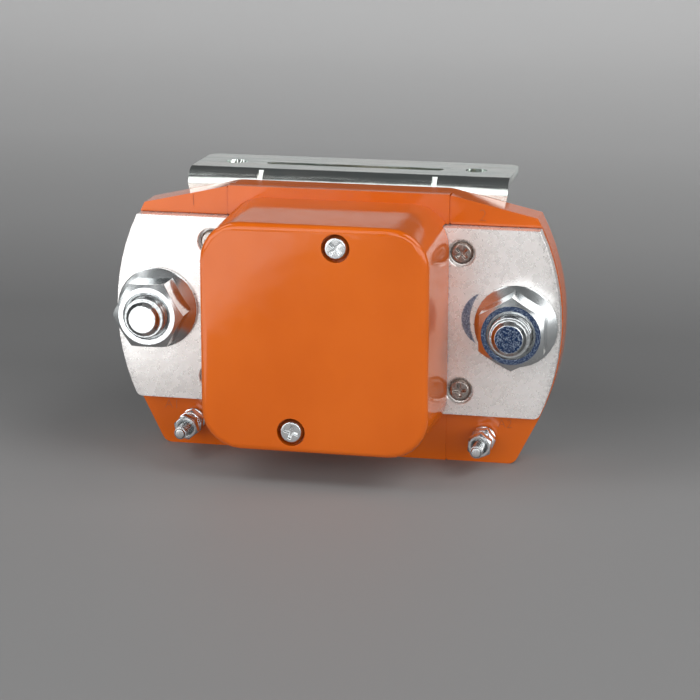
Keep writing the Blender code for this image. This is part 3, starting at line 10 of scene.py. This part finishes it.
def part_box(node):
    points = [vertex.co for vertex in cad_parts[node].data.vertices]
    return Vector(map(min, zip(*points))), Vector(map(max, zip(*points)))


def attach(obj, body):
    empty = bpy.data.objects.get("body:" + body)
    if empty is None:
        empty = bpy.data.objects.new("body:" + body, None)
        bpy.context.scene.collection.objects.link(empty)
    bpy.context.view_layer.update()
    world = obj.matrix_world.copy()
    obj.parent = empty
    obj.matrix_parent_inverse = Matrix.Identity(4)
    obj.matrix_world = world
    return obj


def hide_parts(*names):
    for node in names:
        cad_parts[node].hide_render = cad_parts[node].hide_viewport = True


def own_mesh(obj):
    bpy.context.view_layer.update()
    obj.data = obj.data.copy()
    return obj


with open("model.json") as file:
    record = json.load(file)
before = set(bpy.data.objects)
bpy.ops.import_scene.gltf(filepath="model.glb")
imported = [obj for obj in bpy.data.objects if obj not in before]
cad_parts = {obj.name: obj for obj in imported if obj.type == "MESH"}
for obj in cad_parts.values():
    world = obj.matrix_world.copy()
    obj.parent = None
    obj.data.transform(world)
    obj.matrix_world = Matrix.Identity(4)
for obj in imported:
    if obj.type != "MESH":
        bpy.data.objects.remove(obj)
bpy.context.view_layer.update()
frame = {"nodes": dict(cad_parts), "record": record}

NODES = frame["nodes"]
MM = 0.001

# The front of the contact base, the axis of the studs and the front of the terminal plates
FACE_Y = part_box("contact_base")[0].y
AXIS_Z = 0.03575
PLATE_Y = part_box("terminal_plate_right")[0].y

# Camera, from the fit to the photo's straight edges
AZIMUTH = math.radians(11.631)
ELEVATION = math.radians(14.60)
ROLL = math.radians(0.224)
DISTANCE = 0.540018
TARGET = Vector((0.00315, FACE_Y, AXIS_Z - 0.009257))
LENS = 113.18

# The point that the lights aim at
MIDDLE = Vector((0, 0, 0.035))

# Round end of the terminal plates: its centre below the studs' axis, and its radius
END_DROP = 0.00065
END_RADIUS = 0.0550

# Crescent of painted reflection on the right plate, a dark blue speckle where a zinc face shows
# beside the washer, inside one circle and outside another one: across, up, radius
REFLECTION_CIRCLE = (0.03797, 0.00107, 0.0068)
CUT_CIRCLE = (0.0444, 0.00075, 0.0112)
CIRCLE_BLUR = 0.0001

# Edges: welding distance, bevel segments, the angle from which an edge is rounded or kept crisp
WELD_DISTANCE = 0.000002
EDGE_SEGMENTS = 2
ROUND_FROM = math.radians(35)
CRISP_FROM = math.radians(25)

# Width of the small round on the edges of some nodes, and of some families of nodes
EDGE_WIDTHS = {
    "contact_base": 0.00015,
    "arc_cover": 0.0002,
    "mounting_bracket": 0.00015,
    "yoke": 0.0003,
    "pole_plate": 0.0002,
}
CHAMFERED = ("flange_nut", "coil_nut", "coil_lower_nut", "terminal_stud", "coil_stud")
CHAMFERED_WIDTH = 0.00012
PLATES_AND_SCREWS = ("plate_screw", "cover_screw", "terminal_plate")
PLATE_WIDTH = 0.0001

# Thread pitches, and the wire of the winding
M10_PITCH = 0.0015
M3_PITCH = 0.0005
WIRE_PITCH = 0.0005

# The wave texture's bands lie this far apart at a scale of 1
WAVE_PERIOD = 0.314

# Raised terminal marks, coloured darker orange as painted shade of engraved letters: text, across,
# up from the axis, size
MARKS = (
    ("1", -0.0361, 0.0264, 0.0042),
    ("2", 0.0354, 0.0256, 0.0042),
    ("A1", -0.0424, -0.0259, 0.0034),
    ("A2", 0.0418, -0.0257, 0.0032),
)
MARK_THICKNESS = 0.00002
MARK_PROUD = 0.00001
MARK_THINNING = 0.018

# Seams beside the cover's flange: middle, half width, front and back behind the face, and spans
SEAM_ACROSS = 0.02745
SEAM_HALF_WIDTH = 0.00014
SEAM_DEPTHS = (0.00003, 0.0025)
SEAM_SPANS = ((-0.0355, -0.0236), (0.0236, 0.0300))

# The studio floor's tone from front to back, painted light and shade: the darker band just behind
# the object is a painted shadow, and the lighter tones towards the back are painted light: place
# along Y, share of light returned
FLOOR_LIGHT_AND_SHADE = (
    (-0.16, 0.255),
    (-0.03, 0.265),
    (0.05, 0.185),
    (0.12, 0.185),
    (0.26, 0.285),
    (0.46, 0.38),
    (1.05, 0.43),
)
FLOOR_FRONT = -1.6
FLOOR_BACK = 0.72
FLOOR_HALF_WIDTH = 2.2
FLOOR_BEND = 0.36
FLOOR_BEND_STEPS = 16
WALL_TOP = 0.42

# Cards of light round the object: name, azimuth, elevation, distance, width, height, radiance
CARDS = (
    ("front_left", -40, 14, 1.1, 1.20, 0.50, 2.7),
    ("front_middle", 8, 13, 1.1, 0.62, 0.48, 2.7),
    ("front_right", 56, 14, 1.1, 1.20, 0.50, 2.7),
    ("high_front", -12, 34, 1.1, 0.5, 0.30, 1.6),
    ("high_left", -74, 50, 1.0, 0.6, 0.5, 2.4),
    ("high_right", 80, 50, 1.0, 0.8, 0.6, 3.2),
)

# A card that lies at the left foot of the object and shines up, and the light of the wall
FOOT_CARD = Vector((-0.237, -0.275, 0.004))
WALL_LIGHT = Vector((0, 0.72, 0.60))
WALL_FOOT = Vector((0, 1.25, 0))


class Look:
    """One procedural material, built from short calls."""

    def __init__(self, name, colour, metallic=0.0, roughness=0.4, specular=0.5):
        self.material = bpy.data.materials.new(name)
        self.material.use_nodes = True
        self.material.diffuse_color = (*colour, 1)
        self.tree = self.material.node_tree
        self.body = self.tree.nodes["Principled BSDF"]
        self.body.inputs["Base Color"].default_value = (*colour, 1)
        self.body.inputs["Metallic"].default_value = metallic
        self.body.inputs["Roughness"].default_value = roughness
        self.body.inputs["Specular IOR Level"].default_value = specular
        self.place = self.tree.nodes.new("ShaderNodeTexCoord").outputs["Object"]

    def new(self, kind, links=(), values=(), **settings):
        """A node with its settings, its linked inputs and its fixed inputs."""
        node = self.tree.nodes.new(kind)
        for key, value in settings.items():
            setattr(node, key, value)
        for key, value in values:
            node.inputs[key].default_value = value
        for key, source in links:
            self.tree.links.new(source, node.inputs[key])
        return node

    def set(self, socket, source):
        """Links an output to a socket of the shader."""
        self.tree.links.new(source, self.body.inputs[socket])

    def noise(self, per_mm, detail=2.0, roughness=0.5, stretch=None):
        """Noise with that many features per millimetre."""
        place = self.place
        if stretch:
            place = self.new(
                "ShaderNodeMapping", [("Vector", place)], [("Scale", stretch)]
            ).outputs["Vector"]
        values = [("Scale", per_mm / MM), ("Detail", detail), ("Roughness", roughness)]
        return self.new("ShaderNodeTexNoise", [("Vector", place)], values).outputs["Fac"]

    def remap(self, source, low, high, to_low, to_high):
        """A value moved from one range to another, with soft ends."""
        values = [("From Min", low), ("From Max", high), ("To Min", to_low), ("To Max", to_high)]
        node = self.new("ShaderNodeMapRange", [("Value", source)], values)
        node.interpolation_type = "SMOOTHSTEP"
        return node.outputs["Result"]

    def maths(self, operation, first, second):
        """One sum on outputs or numbers."""
        node = self.new("ShaderNodeMath", operation=operation)
        for index, value in enumerate((first, second)):
            if isinstance(value, (int, float)):
                node.inputs[index].default_value = value
            else:
                self.tree.links.new(value, node.inputs[index])
        return node.outputs["Value"]

    def mix(self, share, first, second):
        """Two colours mixed by an output."""
        node = self.new("ShaderNodeMix", [("Factor", share)], data_type="RGBA")
        for index, value in ((6, first), (7, second)):
            if isinstance(value, tuple):
                node.inputs[index].default_value = (*value, 1)
            else:
                self.tree.links.new(value, node.inputs[index])
        return node.outputs[2]

    def bump(self, height, distance, strength=1.0, under=None):
        """A bump of a height in metres, on top of another one."""
        links = [("Height", height)]
        if under:
            links.append(("Normal", under))
        values = [("Distance", distance), ("Strength", strength)]
        return self.new("ShaderNodeBump", links, values).outputs["Normal"]

    def turns(self, pitch, distortion=0.0, detail=1.0):
        """Ridges with that pitch along the Y axis."""
        return self.new(
            "ShaderNodeTexWave",
            [("Vector", self.place)],
            [("Scale", WAVE_PERIOD / pitch), ("Distortion", distortion), ("Detail Scale", detail)],
            wave_type="BANDS",
            bands_direction="Y",
        ).outputs["Fac"]

    def circle(self, across, up, radius, inside, outside):
        """One value inside a circle round the Y axis and another one outside it."""
        away = self.radius_from((across, 0, AXIS_Z + up))
        return self.remap(away, radius - CIRCLE_BLUR, radius + CIRCLE_BLUR, inside, outside)

    def axis(self, name):
        """One coordinate of the place."""
        return self.new("ShaderNodeSeparateXYZ", [("Vector", self.place)]).outputs[name]

    def radius_from(self, centre, axes="XZ"):
        """The distance from a point, in the plane of two axes."""
        keep = tuple(1.0 if name in axes else 0.0 for name in "XYZ")
        shift = tuple(-value * flag for value, flag in zip(centre, keep))
        moved = self.new(
            "ShaderNodeMapping", [("Vector", self.place)], [("Scale", keep), ("Location", shift)]
        ).outputs["Vector"]
        return self.new("ShaderNodeVectorMath", [(0, moved)], operation="LENGTH").outputs["Value"]


def orange_plastic():
    """Glossy through coloured moulding with faint flow marks."""
    look = Look("orange_moulding_look", (0.62, 0.115, 0.004), 0.0, 0.12, 0.5)
    flow = look.noise(0.035, 3.0, 0.55, (1.0, 1.0, 0.7))
    cloud = look.noise(0.12, 4.0, 0.6)
    tone = look.remap(flow, 0.35, 0.65, 0, 1)
    tone = look.mix(tone, (0.60, 0.108, 0.003), (0.65, 0.125, 0.006))
    tone = look.mix(look.remap(cloud, 0.62, 0.80, 0, 0.30), tone, (0.72, 0.17, 0.02))
    look.set("Base Color", tone)
    look.set("Roughness", look.remap(look.noise(0.3, 3.0), 0.3, 0.7, 0.08, 0.14))
    wave = look.bump(look.noise(0.12, 2.0), 0.00004)
    look.set("Normal", look.bump(look.noise(6.0, 2.0), 0.000002, 1.0, wave))
    return look.material


def silver_plate():
    """Matt silver plate with a fine sparkle, a worn outer edge and a crescent of painted dark
    speckled reflection beside the washer.
    """
    look = Look("silver_plate_look", (0.93, 0.91, 0.89), 0.6, 0.28)
    sparkle = look.noise(5.0, 3.0, 0.7)
    cloud = look.noise(0.08, 3.0)
    tone = look.mix(look.remap(cloud, 0.3, 0.7, 0, 1), (0.91, 0.885, 0.86), (0.96, 0.945, 0.93))
    tone = look.mix(look.remap(sparkle, 0.30, 0.48, 0.30, 0), tone, (0.62, 0.59, 0.57))
    away = look.radius_from((0, 0, AXIS_Z - END_DROP))
    rim = look.remap(away, END_RADIUS - 0.0018, END_RADIUS - 0.0005, 0, 1)
    specks = look.remap(look.noise(2.6, 3.0, 0.7), 0.40, 0.56, 0.5, 0)
    tone = look.mix(look.maths("MULTIPLY", rim, specks), tone, (0.36, 0.35, 0.35))
    # Painted reflection: a crescent on the plate's front gets a dark blue speckle, standing in for
    # a zinc face that mirrors a dark area
    inside = look.circle(*REFLECTION_CIRCLE, 1, 0)
    beyond = look.circle(*CUT_CIRCLE, 0, 1)
    face = look.remap(look.axis("Y"), PLATE_Y + 0.00005, PLATE_Y + 0.0001, 1, 0)
    crescent = look.maths("MULTIPLY", look.maths("MULTIPLY", inside, beyond), face)
    reflected_speckle = look.remap(look.noise(3.6, 3.0, 0.7), 0.42, 0.62, 0, 1)
    tone = look.mix(crescent, tone, look.mix(reflected_speckle, (0.06, 0.09, 0.18), (0.45, 0.52, 0.62)))
    look.set("Base Color", tone)
    look.set("Roughness", look.remap(look.noise(0.5, 3.0), 0.3, 0.7, 0.25, 0.31))
    grain = look.bump(sparkle, 0.00001)
    look.set("Normal", look.bump(look.noise(0.22, 2.0), 0.00004, 1.0, grain))
    return look.material


def bright_zinc(name, pitch=None, dark_reflection=False):
    """Bright zinc, satin and with painted shade on slopes; a pitch adds a thread as bump; fronts
    can get a painted dark speckled reflection.
    """
    look = Look(name, (0.82, 0.84, 0.87), 1.0, 0.14)
    normal = look.new("ShaderNodeNewGeometry").outputs["True Normal"]
    toward = look.new("ShaderNodeSeparateXYZ", [("Vector", normal)]).outputs["Y"]
    front = look.remap(toward, -0.97, -0.90, 1, 0)
    slope = look.remap(toward, -0.60, -0.20, 1, 0)
    cloud = look.noise(0.5, 2.0)
    tone = look.mix(look.remap(cloud, 0.3, 0.7, 0, 1), (0.74, 0.77, 0.78), (0.84, 0.86, 0.87))
    # Painted shade: sloped faces such as the chamfers are darkened, standing in for the dark
    # reflections they catch; the fronts are set back to plain zinc
    tone = look.mix(look.maths("MULTIPLY", slope, 0.35), tone, (0.26, 0.29, 0.29))
    tone = look.mix(front, tone, (0.80, 0.82, 0.83))
    # Painted reflection: front faces get a dark blue speckle, standing in for a dark area mirrored
    # in the zinc
    if dark_reflection:
        speckle = look.remap(look.noise(2.8, 3.0, 0.8), 0.48, 0.62, 0, 1)
        tone = look.mix(front, tone, look.mix(speckle, (0.02, 0.05, 0.15), (0.50, 0.60, 0.74)))
    look.set("Base Color", tone)
    look.set("Roughness", look.maths("ADD", look.maths("MULTIPLY", slope, 0.14), 0.12))
    normal = look.bump(look.noise(3.0, 3.0, 0.7), 0.000002)
    if pitch:
        normal = look.bump(look.turns(pitch), pitch * 0.5, 1.0, normal)
    look.set("Normal", normal)
    return look.material


def zinc_sheet():
    """Bright rolled sheet with a faint greenish passivation."""
    look = Look("zinc_sheet_look", (0.78, 0.80, 0.76), 1.0, 0.2)
    film = look.noise(0.07, 3.0, 0.6, (1.0, 2.0, 2.0))
    tone = look.mix(look.remap(film, 0.35, 0.65, 0, 1), (0.70, 0.76, 0.73), (0.79, 0.80, 0.76))
    look.set("Base Color", tone)
    roll = look.noise(1.5, 3.0, 0.6, (0.05, 1.0, 1.0))
    look.set("Roughness", look.remap(roll, 0.3, 0.7, 0.16, 0.26))
    lines = look.bump(roll, 0.000006)
    look.set("Normal", look.bump(look.noise(0.25, 2.0), 0.00005, 1.0, lines))
    return look.material


def plain_metal(name, colour, roughness, tint):
    """A worked metal with cloudy colour and fine marks along its length."""
    look = Look(name, colour, 1.0, roughness)
    cloud = look.noise(0.15, 3.0)
    look.set("Base Color", look.mix(look.remap(cloud, 0.3, 0.7, 0, 1), colour, tint))
    marks = look.noise(2.0, 3.0, 0.6, (1.0, 0.15, 1.0))
    look.set("Roughness", look.remap(marks, 0.3, 0.7, roughness - 0.08, roughness + 0.08))
    look.set("Normal", look.bump(marks, 0.000008))
    return look.material


def wound_copper():
    """Enamelled wire: fine turns along the coil's axis, darker between the turns as painted shade.
    """
    look = Look("copper_wire_look", (0.62, 0.26, 0.12), 1.0, 0.3)
    turns = look.turns(WIRE_PITCH, 0.4, 40.0)
    # Painted shade: the grooves between the turns are coloured darker
    look.set("Base Color", look.mix(turns, (0.34, 0.11, 0.04), (0.72, 0.32, 0.15)))
    look.set("Normal", look.bump(turns, 0.00012))
    return look.material


def plastic(name, colour, light, roughness):
    """A plain moulding with a fine grain and a faint change of tone."""
    look = Look(name, colour, 0.0, roughness)
    cloud = look.noise(0.12, 3.0)
    look.set("Base Color", look.mix(look.remap(cloud, 0.3, 0.7, 0, 1), colour, light))
    wear = look.noise(0.6, 3.0)
    look.set("Roughness", look.remap(wear, 0.3, 0.7, roughness - 0.06, roughness + 0.06))
    look.set("Normal", look.bump(look.noise(4.0, 2.0), 0.00001))
    return look.material


def dress(looks):
    """Gives every CAD node the look that is kept for it, or else the look of its slot."""
    for part in frame["record"]["subparts"]:
        obj = NODES[part["node"]]
        look = looks.get(part["node"]) or looks[part["material_slot"]]
        for place in obj.material_slots:
            place.material = look


def soften(name, width, crisp):
    """Welds a node's facets and gives its sharp edges a small round; chamfers stay crisp."""
    obj = NODES[name]
    weld = obj.modifiers.new("weld", "WELD")
    weld.merge_threshold = WELD_DISTANCE
    if width:
        edges = obj.modifiers.new("edges", "BEVEL")
        edges.width = width
        edges.segments = EDGE_SEGMENTS
        edges.limit_method = "ANGLE"
        edges.angle_limit = ROUND_FROM
        edges.harden_normals = False
    if crisp:
        split = obj.modifiers.new("split", "EDGE_SPLIT")
        split.split_angle = CRISP_FROM
    normals = obj.modifiers.new("normals", "WEIGHTED_NORMAL")
    normals.keep_sharp = True
    normals.weight = 80
    obj.data.shade_smooth()


def mark(text, across, height, size, look):
    """A small raised mark on the base's face."""
    curve = bpy.data.curves.new("mark_" + text, "FONT")
    curve.body = text
    curve.size = size
    curve.extrude = MARK_THICKNESS
    curve.offset = -size * MARK_THINNING
    curve.align_x = "CENTER"
    curve.align_y = "CENTER"
    guide = bpy.data.objects.new("mark_guide", curve)
    bpy.context.scene.collection.objects.link(guide)
    graph = bpy.context.evaluated_depsgraph_get()
    mesh = bpy.data.meshes.new_from_object(guide.evaluated_get(graph))
    bpy.data.objects.remove(guide, do_unlink=True)
    mesh.transform(Matrix.Rotation(math.pi / 2, 4, "X"))
    mesh.transform(Matrix.Translation((across, FACE_Y - MARK_PROUD, AXIS_Z + height)))
    mesh.materials.clear()
    mesh.materials.append(look)
    piece = bpy.data.objects.new("mark_" + text, mesh)
    bpy.context.scene.collection.objects.link(piece)
    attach(piece, "housing")


def seam_fillers(look):
    """Strips of moulding that close the seams beside the cover's flange, just under the face."""
    faces = [(0, 1, 3, 2), (4, 6, 7, 5), (0, 4, 5, 1), (2, 3, 7, 6), (0, 2, 6, 4), (1, 5, 7, 3)]
    for side in (-1, 1):
        for span in SEAM_SPANS:
            corners = [
                (side * (SEAM_ACROSS + half), FACE_Y + depth, AXIS_Z + up)
                for half in (-SEAM_HALF_WIDTH, SEAM_HALF_WIDTH)
                for depth in SEAM_DEPTHS
                for up in span
            ]
            mesh = bpy.data.meshes.new("seam_filler")
            mesh.from_pydata(corners, [], faces)
            mesh.materials.append(look)
            piece = bpy.data.objects.new("seam_filler", mesh)
            bpy.context.scene.collection.objects.link(piece)
            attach(piece, "housing")


def spring(node, body):
    """A copy of a spring's CAD node, attached to a body, that stands for the hidden node."""
    piece = bpy.data.objects.new(node + "_coil", NODES[node].data.copy())
    piece.data.shade_smooth()
    bpy.context.scene.collection.objects.link(piece)
    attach(piece, body)
    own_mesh(piece)
    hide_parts(node)


def backdrop():
    """A pale floor that curves up into a low wall behind, its tone painted with light and shade
    along Y.
    """
    look = Look("studio_floor_look", (0.42, 0.42, 0.42), 0.0, 0.6, 0.2)
    first, last = FLOOR_LIGHT_AND_SHADE[0][0], FLOOR_LIGHT_AND_SHADE[-1][0]
    values = [("From Min", first), ("From Max", last)]
    along = look.new("ShaderNodeMapRange", [("Value", look.axis("Y"))], values).outputs["Result"]
    # Painted light and shade: the floor's tone along Y, with the object's shadow painted behind it
    ramp = look.new("ShaderNodeValToRGB", [("Fac", along)])
    stops = ramp.color_ramp.elements
    while len(stops) < len(FLOOR_LIGHT_AND_SHADE):
        stops.new(0.5)
    for stop, (place, tone) in zip(stops, FLOOR_LIGHT_AND_SHADE):
        stop.position = (place - first) / (last - first)
        stop.color = (tone, tone, tone, 1)
    cloud = look.remap(look.noise(0.004, 2.0), 0.3, 0.7, 0, 0.06)
    look.set("Base Color", look.mix(cloud, ramp.outputs["Color"], (0.30, 0.30, 0.30)))
    points = [(FLOOR_FRONT, 0.0), (FLOOR_BACK, 0.0)]
    for step in range(1, FLOOR_BEND_STEPS + 1):
        turn = math.pi / 2 * step / FLOOR_BEND_STEPS
        rise = FLOOR_BEND - FLOOR_BEND * math.cos(turn)
        points.append((FLOOR_BACK + FLOOR_BEND * math.sin(turn), rise))
    points.append((FLOOR_BACK + FLOOR_BEND, WALL_TOP))
    corners = [(side * FLOOR_HALF_WIDTH, y, z) for y, z in points for side in (-1, 1)]
    faces = [(2 * i, 2 * i + 1, 2 * i + 3, 2 * i + 2) for i in range(len(points) - 1)]
    mesh = bpy.data.meshes.new("studio_floor")
    mesh.from_pydata(corners, [], faces)
    mesh.materials.append(look.material)
    mesh.shade_smooth()
    floor = bpy.data.objects.new("studio_floor", mesh)
    bpy.context.scene.collection.objects.link(floor)


def card(name, place, aim, width, height, radiance):
    """A rectangular light of an even radiance, from a place towards another one."""
    light = bpy.data.lights.new(name, "AREA")
    light.shape = "RECTANGLE"
    light.size = width
    light.size_y = height
    light.energy = radiance * math.pi * width * height
    obj = bpy.data.objects.new(name, light)
    obj.location = place
    obj.rotation_euler = (aim - place).to_track_quat("-Z", "Y").to_euler()
    bpy.context.scene.collection.objects.link(obj)


def around(azimuth, elevation, distance):
    """A place round the object: azimuth from the front to its right, elevation up."""
    turn, rise = math.radians(azimuth), math.radians(elevation)
    flat, up = distance * math.cos(rise), distance * math.sin(rise)
    return MIDDLE + Vector((flat * math.sin(turn), -flat * math.cos(turn), up))


def camera():
    """The camera of the photo."""
    back = Vector(
        (
            math.sin(AZIMUTH) * math.cos(ELEVATION),
            -math.cos(AZIMUTH) * math.cos(ELEVATION),
            math.sin(ELEVATION),
        )
    )
    right = back.cross(Vector((0, 0, -1))).normalized()
    up = back.cross(right).normalized()
    turned_right = math.cos(ROLL) * right + math.sin(ROLL) * up
    turned_up = math.cos(ROLL) * up - math.sin(ROLL) * right
    data = bpy.data.cameras.new("camera")
    data.lens = LENS
    data.sensor_width = 36
    data.clip_start = 0.01
    obj = bpy.data.objects.new("camera", data)
    place = TARGET + back * DISTANCE
    matrix = Matrix((turned_right, turned_up, back)).transposed().to_4x4()
    matrix.translation = place
    obj.matrix_world = matrix
    bpy.context.scene.collection.objects.link(obj)
    bpy.context.scene.camera = obj


def lights():
    """Cards round the object, one that lies at its left foot, a light for the wall, a dim sky."""
    for name, azimuth, elevation, distance, width, height, radiance in CARDS:
        card(name, around(azimuth, elevation, distance), MIDDLE, width, height, radiance)
    card("foot_left", FOOT_CARD, FOOT_CARD + Vector((0, 0, 1)), 0.35, 0.38, 1.7)
    card("wall_light", WALL_LIGHT, WALL_FOOT, 1.8, 0.3, 3.0)
    world = bpy.data.worlds.new("studio")
    world.use_nodes = True
    sky = world.node_tree.nodes["Background"]
    sky.inputs["Color"].default_value = (0.75, 0.77, 0.80, 1)
    sky.inputs["Strength"].default_value = 0.10
    bpy.context.scene.world = world


m10 = bright_zinc("m10_thread_look", M10_PITCH)
m3 = bright_zinc("m3_thread_look", M3_PITCH)
dull = plain_metal("dull_zinc_look", (0.40, 0.35, 0.32), 0.22, (0.48, 0.44, 0.41))
looks = {
    "orange_moulding": orange_plastic(),
    "silver_plate": silver_plate(),
    "bright_zinc": bright_zinc("bright_zinc_look"),
    "terminal_stud_left": m10,
    # The right stud and nut get a painted dark speckled reflection on their fronts
    "terminal_stud_right": bright_zinc("m10_dark_reflection_look", M10_PITCH, True),
    "flange_nut_right": bright_zinc("zinc_dark_reflection_look", None, True),
    "coil_stud_left": m3,
    "coil_stud_right": m3,
    "zinc_sheet": zinc_sheet(),
    "frame_steel": plain_metal("frame_steel_look", (0.55, 0.56, 0.58), 0.36, (0.62, 0.62, 0.60)),
    "stainless": plain_metal("stainless_look", (0.60, 0.60, 0.60), 0.26, (0.66, 0.66, 0.68)),
    "copper": plain_metal("copper_look", (0.72, 0.36, 0.20), 0.32, (0.62, 0.28, 0.14)),
    "coil_winding": wound_copper(),
    "brass": plain_metal("brass_look", (0.75, 0.58, 0.28), 0.3, (0.68, 0.50, 0.22)),
    "black_moulding": plastic(
        "black_moulding_look", (0.03, 0.03, 0.03), (0.045, 0.045, 0.045), 0.45
    ),
    "polyester_tape": plastic("tape_look", (0.66, 0.47, 0.08), (0.74, 0.56, 0.12), 0.35),
    "bush_polymer": plastic("bush_look", (0.80, 0.78, 0.72), (0.84, 0.82, 0.76), 0.45),
    "magnet": plain_metal("magnet_look", (0.12, 0.12, 0.13), 0.5, (0.16, 0.15, 0.15)),
}
looks.update((node, dull) for node in NODES if node.startswith("plate_screw"))
dress(looks)

for node in NODES:
    chamfered = node.startswith(CHAMFERED)
    if chamfered:
        width = CHAMFERED_WIDTH
    elif node.startswith(PLATES_AND_SCREWS):
        width = PLATE_WIDTH
    else:
        width = EDGE_WIDTHS.get(node, 0)
    soften(node, width, chamfered)

# Painted shade: the marks are darker orange, standing in for the shade inside engraved letters
engraving_shade = plastic("engraving_shade_look", (0.42, 0.075, 0.003), (0.46, 0.085, 0.004), 0.4)
for text, across, height, size in MARKS:
    mark(text, across, height, size, engraving_shade)
seam_fillers(looks["orange_moulding"])
spring("return_spring", "housing")
spring("contact_spring", "armature")

backdrop()
lights()
camera()
bpy.context.scene.view_settings.view_transform = "Standard"
